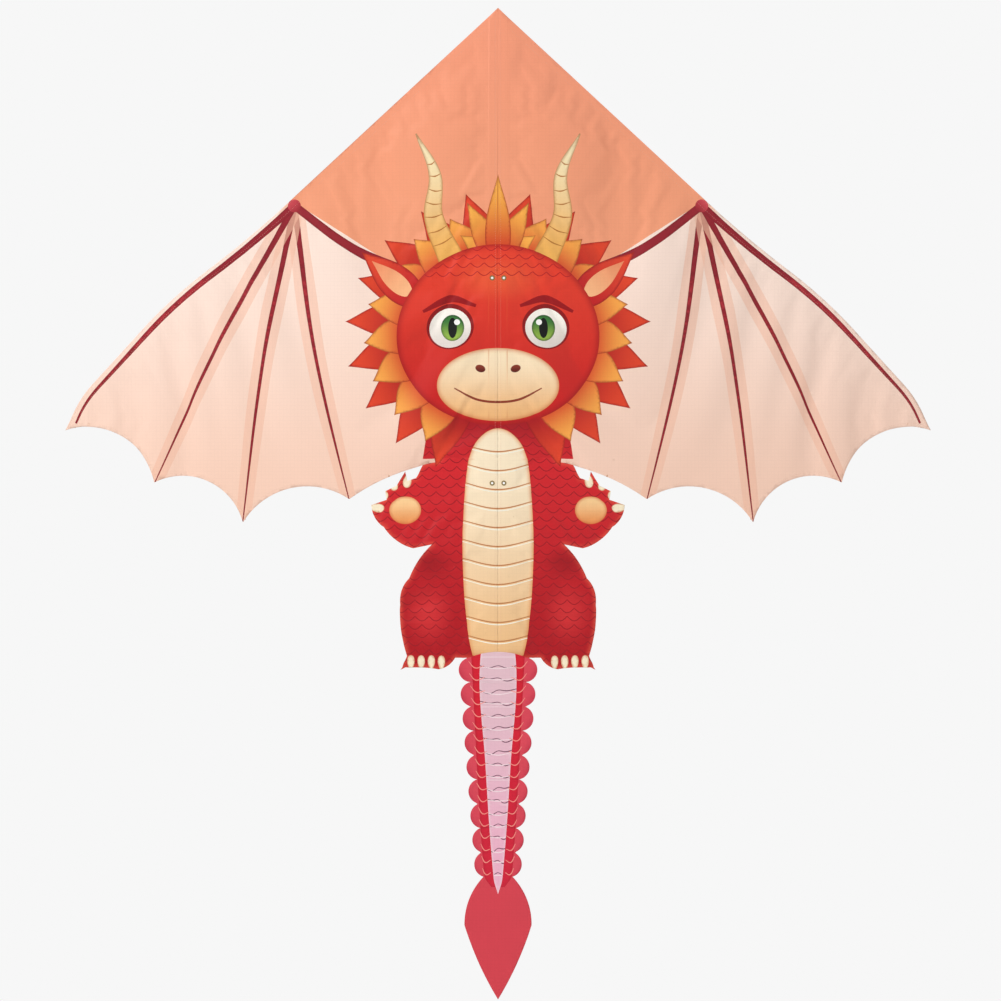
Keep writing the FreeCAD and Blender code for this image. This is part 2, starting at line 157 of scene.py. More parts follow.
def headings(line: np.ndarray) -> np.ndarray:
    """The unit direction of an open line at each of its points."""
    tangent = np.gradient(line, axis=0)
    tangent /= np.maximum(np.linalg.norm(tangent, axis=1), 1e-9)[:, None]
    return tangent


def aim(degrees: float) -> np.ndarray:
    """A unit direction, anticlockwise from +X."""
    turn = math.radians(degrees)
    return np.array([math.cos(turn), math.sin(turn)])


def across(way: np.ndarray) -> np.ndarray:
    """The unit direction to the left of another direction."""
    return np.array([-way[1], way[0]]) / np.linalg.norm(way)


def ribbon(points: Run, widths: Sequence[float], step: float = 2.5) -> np.ndarray:
    """Draw a brush stroke along a line.

    Args:
        points: the line, as for curve.
        widths: widths at even distances along it.
        step: about how far apart the drawn points lie.

    Returns:
        The stroke's closed outline.
    """
    line = curve(points, closed=False, step=step)
    along = distances(line)
    half = np.interp(along / along[-1], np.linspace(0, 1, len(widths)), widths) / 2
    tangent = headings(line)
    normal = np.stack([-tangent[:, 1], tangent[:, 0]], axis=1)
    half = np.maximum(half, 0.12)[:, None]
    return np.concatenate([line + normal * half, (line - normal * half)[::-1]])


def oval(x: float, z: float, half_x: float, half_z: float, lean: float = 0.0) -> np.ndarray:
    """An oval's outline; lean turns it, in degrees."""
    count = max(20, int(2 * math.pi * max(half_x, half_z) / 2.2))
    angle = np.linspace(0, 2 * math.pi, count, endpoint=False)
    dx, dz = half_x * np.cos(angle), half_z * np.sin(angle)
    c, s = math.cos(math.radians(lean)), math.sin(math.radians(lean))
    return np.stack([x + dx * c - dz * s, z + dx * s + dz * c], axis=1)


def edge_distance(spots: np.ndarray, outline: np.ndarray) -> np.ndarray:
    """The distance from each spot to a closed outline drawn with close points."""
    tree = KDTree(len(outline))
    for number, point in enumerate(outline):
        tree.insert((point[0], point[1], 0.0), number)
    tree.balance()
    near = np.array([tree.find((x, z, 0.0))[1] for x, z in spots])
    best = np.full(len(spots), np.inf)
    for step in (-1, 0):
        start, end = outline[(near + step) % len(outline)], outline[(near + step + 1) % len(outline)]
        run = end - start
        t = np.clip(((spots - start) * run).sum(1) / np.maximum((run * run).sum(1), 1e-12), 0, 1)
        best = np.minimum(best, np.linalg.norm(spots - start - t[:, None] * run, axis=1))
    return best


def turned_left(outline: np.ndarray) -> np.ndarray:
    """A closed outline that runs anticlockwise, its inside on the left."""
    ahead = np.roll(outline, -1, axis=0)
    double = (outline[:, 0] * ahead[:, 1] - ahead[:, 0] * outline[:, 1]).sum()
    return outline if double > 0 else outline[::-1]


def inside(spots: np.ndarray, outline: np.ndarray) -> np.ndarray:
    """Whether each spot lies inside a closed outline."""
    found = np.zeros(len(spots), bool)
    x, z = spots[:, 0], spots[:, 1]
    for (ax, az), (bx, bz) in zip(outline, np.roll(outline, -1, axis=0)):
        if az != bz:
            found ^= ((az > z) != (bz > z)) & (x < (bx - ax) * (z - az) / (bz - az) + ax)
    return found


# ---- the print ----------------------------------------------------------------------------

@dataclass(frozen=True)
class Glow:
    """A soft spot of colour."""

    x: float
    z: float
    reach: float
    colour: str
    strength: float = 0.8
    squash: float = 1.0


@dataclass(frozen=True)
class Ink:
    """How a printed shape is coloured: a blend from one side to the other, a rim and soft spots."""

    start: str
    end: str = ""
    run: tuple[float, float, float, float] = (0.0, 0.0, 0.0, 1.0)
    rim: str = ""
    rim_width: float = 4.0
    rim_strength: float = 0.8
    glows: tuple[Glow, ...] = ()
    cover: tuple[float, float] = (1.0, 1.0)

    def lay(self, spots: np.ndarray, outline: np.ndarray) -> tuple[np.ndarray, np.ndarray]:
        """The ink at each spot.

        Args:
            spots: places in millimetres.
            outline: the printed shape's outline.

        Returns:
            The linear colours, and how much each one covers what is under it.
        """
        start, end = np.array(self.run[:2]), np.array(self.run[2:])
        way = end - start
        t = np.clip(((spots - start) @ way) / (way @ way), 0, 1)
        t = (t * t * (3 - 2 * t))[:, None]
        colour = ink(self.start) * (1 - t) + ink(self.end or self.start) * t
        if self.rim:
            near = 1 - np.clip(edge_distance(spots, outline) / self.rim_width, 0, 1)
            weight = (near ** 1.5 * self.rim_strength)[:, None]
            colour = colour * (1 - weight) + ink(self.rim) * weight
        for glow in self.glows:
            away = (spots - (glow.x, glow.z)) / (glow.reach, glow.reach * glow.squash)
            fall = np.clip(1 - np.linalg.norm(away, axis=1), 0, 1)
            weight = (fall * fall * (3 - 2 * fall) * glow.strength)[:, None]
            colour = colour * (1 - weight) + ink(glow.colour) * weight
        return colour, self.cover[0] * (1 - t) + self.cover[1] * t


@dataclass
class Shape:
    """One printed shape, over all that come before it."""

    outline: np.ndarray
    ink: Ink
    within: str = ""
    name: str = ""

    def mirrored(self) -> "Shape":
        """The same shape on the other side of the spine."""
        glows = tuple(Glow(-g.x, g.z, g.reach, g.colour, g.strength, g.squash) for g in self.ink.glows)
        x0, z0, x1, z1 = self.ink.run
        other = Ink(self.ink.start, self.ink.end, (-x0, z0, -x1, z1), self.ink.rim,
                    self.ink.rim_width, self.ink.rim_strength, glows, self.ink.cover)
        return Shape(self.outline * (-1, 1), other, self.within, self.name)


@dataclass
class Artwork:
    """The stack of printed shapes, from the ground colour up."""

    shapes: list[Shape] = field(default_factory=list)

    def add(self, outline: np.ndarray, colour: Ink, within: str = "", name: str = "") -> None:
        """Print one shape."""
        self.shapes.append(Shape(outline, colour, within, name))

    def pair(self, outline: np.ndarray, colour: Ink, within: str = "", name: str = "") -> None:
        """Print a shape on the right and its mirror image on the left."""
        shape = Shape(outline, colour, within, name)
        self.shapes += [shape, shape.mirrored()]


@dataclass
class FlatCloth:
    """Cloth laid flat and cut into triangles along every printed edge."""

    spots: np.ndarray
    faces: np.ndarray
    colours: np.ndarray
    piece: np.ndarray

    @classmethod
    def cut(cls, panels: Sequence[np.ndarray], holes: Sequence[np.ndarray], pieces: Sequence[np.ndarray],
            art: Artwork, loose: np.ndarray) -> "FlatCloth":
        """Cut panels along the print and colour every triangle corner.

        Args:
            panels: outlines of the cloth.
            holes: outlines of the holes in it.
            pieces: outlines of the areas that become separate pieces.
            art: what is printed on it.
            loose: points that let the cloth bend and the colours blend.

        Returns:
            The flat, coloured cloth.
        """
        drawn = (shape.outline for shape in art.shapes)
        outlines = [turned_left(outline) for outline in (*panels, *holes, *pieces, *drawn)]
        spots = [Vector(p) for p in loose]
        rings = []
        for outline in outlines:
            rings.append(list(range(len(spots), len(spots) + len(outline))))
            spots += [Vector(p) for p in outline]
        found = delaunay_2d_cdt(spots, [], rings, 0, 1e-4)
        flat = np.array([tuple(v) for v in found[0]])
        faces = np.array(found[2])
        within = np.zeros((len(outlines), len(faces)), bool)
        for number, owners in enumerate(found[5]):
            within[list(set(owners)), number] = True
        one, two, three = flat[faces[:, 0]], flat[faces[:, 1]], flat[faces[:, 2]]
        area = (two - one)[:, 0] * (three - one)[:, 1] - (two - one)[:, 1] * (three - one)[:, 0]
        faces[area < 0] = faces[area < 0][:, ::-1]
        first, last = len(panels), len(panels) + len(holes)
        keep = within[:first].any(0) & ~within[first:last].any(0) & (np.abs(area) > 1e-4)
        faces, within = faces[keep], within[:, keep]
        piece = within[last:last + len(pieces)].argmax(0)
        colours = cls.coloured(flat, faces, within[last + len(pieces):], art)
        return cls(flat, faces, colours, piece)

    @staticmethod
    def coloured(flat: np.ndarray, faces: np.ndarray, within: np.ndarray, art: Artwork) -> np.ndarray:
        """The linear colour of each corner of each triangle."""
        colours = np.full((len(faces), 3, 3), 0.8)
        areas: dict[str, np.ndarray] = {}
        for shape, mask in zip(art.shapes, within):
            if shape.within:
                mask = mask & areas[shape.within]
            if shape.name:
                areas[shape.name] = areas.get(shape.name, False) | mask
            if not mask.any():
                continue
            used, corner = np.unique(faces[mask], return_inverse=True)
            colour, cover = shape.ink.lay(flat[used], shape.outline)
            corner = corner.reshape(-1, 3)
            colours[mask] = colours[mask] * (1 - cover[corner]) + colour[corner] * cover[corner]
        return colours

    def part(self, number: int) -> "FlatCloth":
        """One separate piece of the cloth."""
        keep = self.piece == number
        used, renumbered = np.unique(self.faces[keep], return_inverse=True)
        return FlatCloth(self.spots[used], renumbered.reshape(-1, 3), self.colours[keep], self.piece[keep])

    def area(self) -> float:
        """The cloth's flat area in square metres."""
        one, two, three = (self.spots[self.faces[:, k]] for k in range(3))
        double = (two - one)[:, 0] * (three - one)[:, 1] - (two - one)[:, 1] * (three - one)[:, 0]
        return float(np.abs(double).sum() / 2 * MM * MM)


def rows(box: tuple[float, float, float, float], step: float) -> np.ndarray:
    """Staggered rows of points.

    Args:
        box: lowest x and z, then highest x and z.
        step: the distance between neighbours.

    Returns:
        The points, shaken a little so that no two lie in line.
    """
    x0, z0, x1, z1 = box
    dice = np.random.default_rng(5)
    spots = [(x + (k % 2) * step / 2, z) for k, z in enumerate(np.arange(z0, z1, step * 0.866))
             for x in np.arange(x0, x1, step)]
    return np.array(spots) + dice.uniform(-0.08, 0.08, (len(spots), 2)) * step


def leaf(root: Run, tip: Run, width: float, bow: float = 0.0) -> np.ndarray:
    """A leaf with a round root and a sharp tip.

    Args:
        root: x and z of its root.
        tip: x and z of its tip.
        width: its greatest width.
        bow: how far its middle stands to the left of the straight way.

    Returns:
        Its closed outline.
    """
    root, tip = np.array(root, float), np.array(tip, float)
    way = tip - root
    left = across(way)
    middle = root + way * 0.42 + left * bow
    return curve([root - left * width * 0.3, middle - left * width / 2, (*tip, 1), middle + left * width / 2,
                  root + left * width * 0.3])


class DragonPrint:
    """A plain dragon on the wings and the lower figure, in millimetres from the tow point.

    Its parts are ovals, leaves and strokes at even steps; the wing bones and the body follow the frame.
    """

    HEAD = np.array([0.0, -78.0])
    HEAD_HALF = np.array([140.0, 124.0])
    HAND = np.array([128.0, -318.0])
    WRIST_X = 280.0
    SHOULDER = (128.0, 10.0)
    FOOT_Z = -540.0
    BONE = Ink("b8303a", "9a2430", rim="801c26", rim_width=2.5)

    def __init__(self, pattern: "Pattern") -> None:
        """Plan the print.

        Args:
            pattern: the flat pattern of the cloth.
        """
        self.art = Artwork()
        self.pattern = pattern
        edge = pattern.inset(9.0)
        self.finger = edge[edge[:, 0] > self.WRIST_X][::6]
        self.wrist = self.finger[0]

    def draw(self) -> Artwork:
        """Print every part of the dragon, from the ground up."""
        self.ground()
        self.wings()
        self.body()
        self.belly()
        self.hands_and_feet()
        self.mane()
        self.horns()
        self.crest()
        self.head()
        self.eyes()
        self.muzzle()
        return self.art

    def ground(self) -> None:
        """The plain colour of the upper sail and the lighter colour of the wings."""
        self.art.add(curve([(-700, 400, 1), (700, 400, 1), (700, -600, 1), (-700, -600, 1)], step=400),
                     Ink("f99e7c", "f7a27c", run=(0, 370, 0, 60)))
        self.art.pair(curve([(0, 10, 1), (*self.SHOULDER, 1), (*(self.wrist + 12), 1), (700, self.wrist[1] + 12, 1),
                             (700, -420, 1), (0, -420, 1)], step=8),
                      Ink("ffe6d8", "fbd2bc", run=(300, 60, 300, -330)), name="wing")

    def wings(self) -> None:
        """A finger bone from the wrist to each point of the scalloped edge, the arm and the long finger."""
        for cusp in self.pattern.cusps():
            way = cusp - self.wrist
            line = [self.wrist, self.wrist + way * 0.5 + across(way) * 9, cusp]
            self.art.pair(ribbon(line, [26, 30, 26, 20]), Ink("f6bfa4", cover=(0.55, 0.55)), within="wing")
            self.art.pair(ribbon(line, [9, 6.5, 5, 3.5, 1.5]), self.BONE)
        self.art.pair(ribbon([self.SHOULDER, (self.SHOULDER + self.wrist) / 2 - (0, 10), self.wrist], [16, 12, 11]),
                      self.BONE)
        self.art.pair(ribbon(self.finger, [11, 9, 8, 7, 5, 3]), self.BONE)
        self.art.pair(oval(*self.wrist, 9, 9), Ink("d8505a", "a02430", run=(*(self.wrist + 8), *(self.wrist - 8))))

    def scales(self, box: tuple[float, float, float, float], pitch: float, code: str, within: str) -> None:
        """Scalloped rows, each half a scale further than the one above.

        Args:
            box: lowest x and z, then highest x and z.
            pitch: the width of a scale.
            code: the colour of the lines.
            within: the printed area that shows them.
        """
        x = np.arange(box[0], box[2] + 1, pitch / 8)
        for row, z in enumerate(np.arange(box[3], box[1], -pitch * 0.6)):
            drop = pitch * 0.34 * np.abs(np.sin((x / pitch + row / 2) * math.pi))
            self.art.add(ribbon(list(zip(x, z - drop)), [1.1, 1.1]), Ink(code), within=within)

    def body(self) -> None:
        """The body fills the lower figure."""
        low, fold = self.pattern.foot, self.pattern.wing.hinge[0]
        colour = Ink("d8242c", "b4121e", run=(0, -230, 0, -530), rim="f0604a", rim_width=7, rim_strength=0.6,
                     glows=(Glow(92, -390, 40, "8e0c18", 0.6, 0.7), Glow(96, -460, 40, "e83a3c", 0.6, 1.3)))
        self.art.pair(curve([(x, z, 1) for x, z in self.pattern.figure], step=4), colour, name="body")
        self.art.add(curve([(-fold, low, 1), (fold, low, 1), (fold, -205, 1), (-fold, -205, 1)], step=4),
                     Ink("d8242c", "b4121e", run=(0, -230, 0, -530)))
        self.art.add(curve([(-76, -160, 1), (76, -160, 1), (96, -204), (104, -246, 1), (-104, -246, 1), (-96, -204)],
                           step=5), Ink("a81420", "d0222a", run=(0, -190, 0, -244)), name="body")
        self.scales((-190, -530, 190, -190), 19, "9a1420", "body")

    def belly(self) -> None:
        """A pale belly with even plates."""
        half = [(34, -232), (46, -300), (48, -400), (42, -480), (30, self.FOOT_Z, 1)]
        self.art.add(curve([(0, -206)] + half + [(-x, z, *s) for x, z, *s in half[::-1]]),
                     Ink("ffeccc", "f4c48c", run=(0, -240, 0, -530), rim="e89a5c", rim_width=6), name="belly")
        for k in range(12):
            z = -232 - 26 * k
            self.art.add(ribbon([(-56, z + 6), (0, z - 6), (56, z + 6)], [1.2, 2, 1.2]), Ink("c88450"), within="belly")
            self.art.add(ribbon([(-56, z + 3), (0, z - 9), (56, z + 3)], [0.8, 1.6, 0.8]), Ink("fff8e6"),
                         within="belly")

    def hands_and_feet(self) -> None:
        """A round pad and four claws on each hand, and four claws on each foot."""
        self.art.pair(oval(*self.HAND, 22, 19), Ink("ffd49a", "f09a58", run=(128, -300, 128, -338), rim="d87040"))
        for k in range(4):
            way = aim(94 - 29 * k)
            self.art.pair(leaf(self.HAND + way * 32, self.HAND + way * 56, 12),
                          Ink("fff0d0", "f4c47c", rim="c87038", rim_width=1.6))
            self.art.pair(leaf((78 + 14 * k, -518), (78 + 14 * k, self.FOOT_Z), 10),
                          Ink("fff0d0", "f4c47c", rim="c87038", rim_width=1.6))

    def mane(self) -> None:
        """Two rings of even leaves around the head."""
        for first, count, reach, root_code, tip_code in ((-66, 9, 92, "a80e1c", "e8482a"),
                                                         (-57, 8, 66, "d4241e", "ffb050")):
            for k in range(count):
                way = aim(first + 18 * k)
                root = self.HEAD + way * self.HEAD_HALF * 0.85
                tip = root + way * reach
                self.art.pair(leaf(root, tip, 46, bow=7),
                              Ink(root_code, tip_code, run=(*root, *tip), rim="8e1018", rim_width=2.5))

    def horns(self) -> None:
        """Two plain curved horns with even rings."""
        points, widths = [(64, 26), (88, 84), (86, 142), (112, 198)], [36, 27, 17, 2]
        self.art.pair(ribbon(points, widths), Ink("f2b45c", "fff0c4", run=(64, 30, 108, 196), rim="a86428",
                                                  rim_width=3.5))
        line = curve(points, closed=False)
        for share in np.linspace(0.16, 0.76, 7):
            k = int(share * (len(line) - 1))
            way = line[k + 1] - line[k - 1]
            left = across(way)
            half = np.interp(share, np.linspace(0, 1, len(widths)), widths) / 2 - 1
            self.art.pair(ribbon([line[k] - left * half, line[k] - way * 0.4, line[k] + left * half],
                                 [0.8, 1.8, 0.8]), Ink("b87434"))

    def crest(self) -> None:
        """A fan of leaves between the horns, the middle one in front."""
        for lean in (-56, 56, -28, 28, 0):
            way, root = aim(90 - lean), np.array([0.0, 24.0])
            tip = root + way * (118 - abs(lean))
            self.art.add(leaf(root, tip, 34), Ink("d4301e", "ffb850", run=(*root, *tip), rim="961818", rim_width=2.5))

    def head(self) -> None:
        """A plain oval head with scales on its brow, and leaf-shaped ears."""
        ear, end = self.HEAD + (112, 50), self.HEAD + (188, 116)
        self.art.pair(leaf(ear, end, 46), Ink("c41c22", "e84c30", run=(*ear, *end), rim="8e1018", rim_width=3))
        self.art.pair(leaf(ear + (12, 10), end - (14, 12), 24), Ink("ffc08c", "f08a60", run=(*ear, *end)))
        self.art.add(oval(*self.HEAD, *self.HEAD_HALF),
                     Ink("e8402c", "cc2020", run=(0, 40, 0, -190), rim="9c1218", rim_width=10, rim_strength=0.7,
                         glows=(Glow(0, 0, 80, "f4683c", 0.6, 0.5),)), name="head")
        self.scales((-130, 4, 130, 44), 19, "b41c20", "head")

    def eyes(self) -> None:
        """Round eyes under plain brow ridges."""
        self.art.pair(oval(66, -66, 33, 31), Ink("8e1418"))
        self.art.pair(oval(66, -68, 29, 27), Ink("fffaf0", "e6dcd4", run=(66, -44, 66, -94)), name="eye")
        self.art.pair(oval(62, -68, 16, 18), Ink("3c7a3a", "9cc04c", run=(62, -56, 62, -86), rim="1e3c1e",
                                                 rim_width=3), within="eye")
        self.art.pair(oval(62, -68, 6, 14), Ink("101410"), within="eye")
        self.art.pair(oval(56, -60, 4, 4), Ink("fffefa"), within="eye")
        self.art.pair(ribbon([(30, -38), (66, -28), (104, -44)], [4, 11, 4]), Ink("9c1218"))

    def muzzle(self) -> None:
        """A pale muzzle with two nostrils and a plain mouth line."""
        self.art.add(oval(0, -146, 84, 50), Ink("ffe8c4", "f4bc80", run=(0, -104, 0, -192), rim="d8824c", rim_width=7),
                     within="head", name="muzzle")
        self.art.pair(oval(24, -124, 7, 5, 20), Ink("8e3a28", "5e1c18", run=(24, -119, 24, -129)))
        self.art.add(ribbon([(-60, -150), (-30, -166), (0, -170), (30, -166), (60, -150)], [1.5, 3.2, 3.2, 3.2, 1.5]),
                     Ink("8e3a28"), within="muzzle")


class TailPrint:
    """The scales, bands and stripe printed on the tail."""

    def __init__(self, seam: float, root: float, tip: float, top_half: float, end_half: float) -> None:
        """Plan the print from the tail's own sizes, all in millimetres.

        Args:
            seam: height of the tail's seam.
            root: height of the spade's root.
            tip: height of the spade's point.
            top_half: half width at the seam, between the scallops.
            end_half: half width at the spade's root.
        """
        self.seam, self.root, self.tip = seam, root, tip
        self.top_half, self.end_half = top_half, end_half

    def half(self, z: float) -> float:
        """Half width of the tail's strip at a height."""
        return float(np.interp(-z, [-self.seam, -self.root], [self.top_half, self.end_half]))

    def draw(self, scallops: int) -> Artwork:
        """Print the tail.

        Args:
            scallops: how many a side.

        Returns:
            The artwork.
        """
        art = Artwork()
        wide, high, low = 2 * self.top_half, self.seam + 40, self.tip - 10
        art.add(curve([(-wide, high, 1), (wide, high, 1), (wide, low, 1), (-wide, low, 1)], step=60),
                Ink("de4656", "d8424e", run=(0, self.seam, 0, self.tip)))
        pitch = (self.seam - self.root) / scallops
        for k in range(scallops):
            z = self.seam - (k + 0.5) * pitch
            art.pair(oval(self.half(z) + 2, z, 12, pitch * 0.42),
                     Ink("e25062", "c8344a", run=(self.half(z), z, self.half(z) + 14, z - 8), cover=(0.3, 0.9)))
        band = [(self.top_half - 3, self.seam + 8, 1), (self.end_half - 1, self.root + 2), (9, self.root - 14, 1)]
        art.add(curve(band + [(-x, z, *s) for x, z, *s in band[::-1]], step=6),
                Ink("d81a30", "d4203a", run=(0, self.seam, 0, self.root), rim="a8142a", rim_width=3, rim_strength=0.5),
                name="band")
        stripe = [(23.6, self.seam + 4), (17, (self.seam + self.root) / 2), (6, self.root - 2), (0, self.root - 24, 1)]
        art.add(curve([(0, self.seam + 8)] + stripe + [(-x, z) for x, z, *_ in stripe[-2::-1]], step=3),
                Ink("e8c2cc", "f2b6cc", run=(0, self.seam, 0, self.root), rim="f6dce2", rim_width=3, rim_strength=0.6),
                name="stripe")
        for k in range(2 * scallops):
            z = self.seam - (k + 0.6) * pitch / 2
            half = self.half(z)
            sway = 2.0 * math.sin(2.4 * k)
            art.add(ribbon([(-half + 6, z + 2), (-half / 3, z - 4 + sway), (0, z - 1), (half / 3, z - 4 - sway),
                            (half - 6, z + 2)], [0.8, 1.4, 0.9, 1.3, 0.8]), Ink("64324a"), within="stripe")
            art.add(ribbon([(-half + 6, z - 1), (0, z - 5 + sway), (half - 6, z - 1)], [0.6, 1.6, 0.6]),
                    Ink("f8dfe4"), within="stripe")
            art.pair(ribbon([(half * 0.48, z - 1 + sway / 2), (half * 0.8, z - 4), (half + 1, z + 5)],
                            [0.8, 1.5, 0.7]),
                     Ink("f79488"))
        return art


# ---- the frame's shapes -------------------------------------------------------------------

class Wing:
    """The right wing's fold about its hinge, measured from the frame; the left wing is its mirror image."""

    def __init__(self) -> None:
        """Measure how far the wings lean back."""
        joint = next(j for j in frame["joints"] if j["name"] == "wing_fold_right")
        self.hinge = np.array(joint["pos_m"][:2]) / MM
        spots = node_points("sail_right")
        normal = np.linalg.svd(spots - spots.mean(0), full_matrices=False)[2][2]
        normal *= np.sign(normal[1])
        self.lean = math.atan2(-normal[0], normal[1])

    def flat(self, spots: np.ndarray, side: int = 1) -> np.ndarray:
        """Turn points on one wing flat.

        Args:
            spots: places in millimetres in the frame.
            side: 1 for the right wing and -1 for the left one.

        Returns:
            The same places on the flat pattern.
        """
        return self._turn(spots * (side, 1, 1), -self.lean) * (side, 1, 1)

    def fold(self, spots: np.ndarray) -> np.ndarray:
        """Lean flat points on both sides of the spine back into place.

        Args:
            spots: places on the flat pattern, in millimetres.

        Returns:
            The places in the frame, in millimetres.
        """
        side = np.where(spots[:, :1] < 0, -1.0, 1.0)
        right = spots * np.hstack([side, np.ones((len(spots), 2))])
        turned = self._turn(right, self.lean)
        kept = np.where(right[:, :1] > self.hinge[0], turned, right)
        return kept * np.hstack([side, np.ones((len(spots), 2))])

    def _turn(self, spots: np.ndarray, angle: float) -> np.ndarray:
        """Turn points about the right hinge."""
        c, s = math.cos(angle), math.sin(angle)
        x, y = spots[:, 0] - self.hinge[0], spots[:, 1] - self.hinge[1]
        return np.stack([self.hinge[0] + x * c - y * s, self.hinge[1] + x * s + y * c, spots[:, 2]], axis=1)


def node_points(node: str) -> np.ndarray:
    """The corner points of a CAD node, in millimetres."""
    return np.array([v.co for v in frame["nodes"][node].data.vertices]) / MM


def outlines(node: str, spots: np.ndarray) -> list[np.ndarray]:
    """The outlines of a flat CAD node's front face.

    Args:
        node: its name.
        spots: its points in millimetres, turned flat.

    Returns:
        The outer outline, then those of its holes, as x and z.
    """
    places: dict[tuple, int] = {}
    ids = [places.setdefault(tuple(np.round(p, 2)), len(places)) for p in spots]
    where = np.array(list(places))
    front = where[:, 1] < where[:, 1].min() + 0.1
    edges = set()
    for face in frame["nodes"][node].data.polygons:
        ring = [ids[v] for v in face.vertices]
        if all(front[v] for v in ring):
            edges |= set(zip(ring, ring[1:] + ring[:1]))
    follow = {a: b for a, b in edges if (b, a) not in edges and a != b}
    loops = []
    while follow:
        start, spot = follow.popitem()
        loop = [start]
        while spot != start:
            loop.append(spot)
            spot = follow.pop(spot)
        loops.append(where[loop][:, [0, 2]])
    return sorted(loops, key=lambda p: -np.ptp(p[:, 0]) * np.ptp(p[:, 1]))


def offset(line: np.ndarray, away: float) -> np.ndarray:
    """Move an open line to its right, in its own plane, by away millimetres."""
    tangent = headings(line)
    return line + np.stack([tangent[:, 1], -tangent[:, 0]], axis=1) * away


def evenly(line: np.ndarray, step: float) -> np.ndarray:
    """The open line again, with points about step apart."""
    along = distances(line)
    at = np.linspace(0, along[-1], max(2, int(round(along[-1] / step)) + 1))
    return np.stack([np.interp(at, along, line[:, k]) for k in (0, 1)], axis=1)


class Pattern:
    """The flat pattern of the kite's cloth, read from the frame, in millimetres."""

    FOLD_SNAP = 0.7
    FOOT_LAP = 9.0

    def __init__(self, wing: Wing) -> None:
        """Read the panels' outlines.

        Args:
            wing: how the wings are folded.
        """
        self.wing = wing
        fold = wing.hinge[0]
        self.sail = outlines("sail_right", wing.flat(node_points("sail_right")))[0]
        self.figure = outlines("figure_right", wing.flat(node_points("figure_right")))[0]
        strip = outlines("centre_strip", node_points("centre_strip"))
        self.holes = strip[1:]
        self.nose, self.foot = float(strip[0][:, 1].max()), float(strip[0][:, 1].min())
        for panel in (self.sail, self.figure):
            panel[np.abs(panel[:, 0] - fold) < self.FOLD_SNAP, 0] = fold
        shoulder = float(self.sail[self.sail[:, 0] == fold, 1].max())
        self.sail_foot = float(self.sail[self.sail[:, 0] == fold, 1].min())
        lap = (self.figure[:, 1] > self.sail_foot - 2) & (self.figure[:, 0] < 80)
        self.figure[lap, 1] += self.FOOT_LAP
        self.strip = np.array([(0, self.foot), (fold, self.foot), (fold, shoulder), (0, self.nose)])
        top = int(np.argmax(self.sail[:, 1]))
        turned = np.roll(self.sail, -top, axis=0)
        tip = int(np.argmax(turned[:, 0]))
        one, other = turned[:tip + 1], np.vstack([turned[tip:], turned[:1]])[::-1]
        leading, rest = (one, other) if one[:, 1].mean() > other[:, 1].mean() else (other, one)
        self.leading = evenly(leading, 3.0)
        foot = int(np.argmin(np.hypot(rest[:, 0] - fold, rest[:, 1] - self.sail_foot)))
        ends = sorted((foot, int(np.argmax(rest[:, 0]))))
        self.trailing = rest[ends[0]:ends[1] + 1]
        if self.trailing[0, 0] > self.trailing[-1, 0]:
            self.trailing = self.trailing[::-1]

    def inset(self, away: float) -> np.ndarray:
        """The right leading edge, moved into the cloth."""
        return offset(self.leading, away)

    def cusps(self) -> np.ndarray:
        """The points of the right wing's scalloped edge, clear of the figure."""
        line = evenly(self.trailing, 2.0)
        z = line[:, 1]
        low = [k for k in range(6, len(line) - 6) if z[k] == z[k - 6:k + 7].min() and line[k, 0] > 190]
        return line[low]

    def right(self) -> list[np.ndarray]:
        """The panels right of the spine."""
        return [self.sail, self.figure, self.strip]

    def panels(self) -> list[np.ndarray]:
        """All panels."""
        return self.right() + [panel * (-1, 1) for panel in self.right()]


# ---- the cloth's slack --------------------------------------------------------------------

@dataclass(frozen=True)
class SlackSize:
    """Settings of the simulated slack of the wings, in millimetres unless named otherwise."""

    step: float = 9.0
    frames: int = 40
    wind: float = 350.0
    shrink: float = -0.014
    pin: float = 13.0
    forward: float = 9.0
    back: float = 2.2


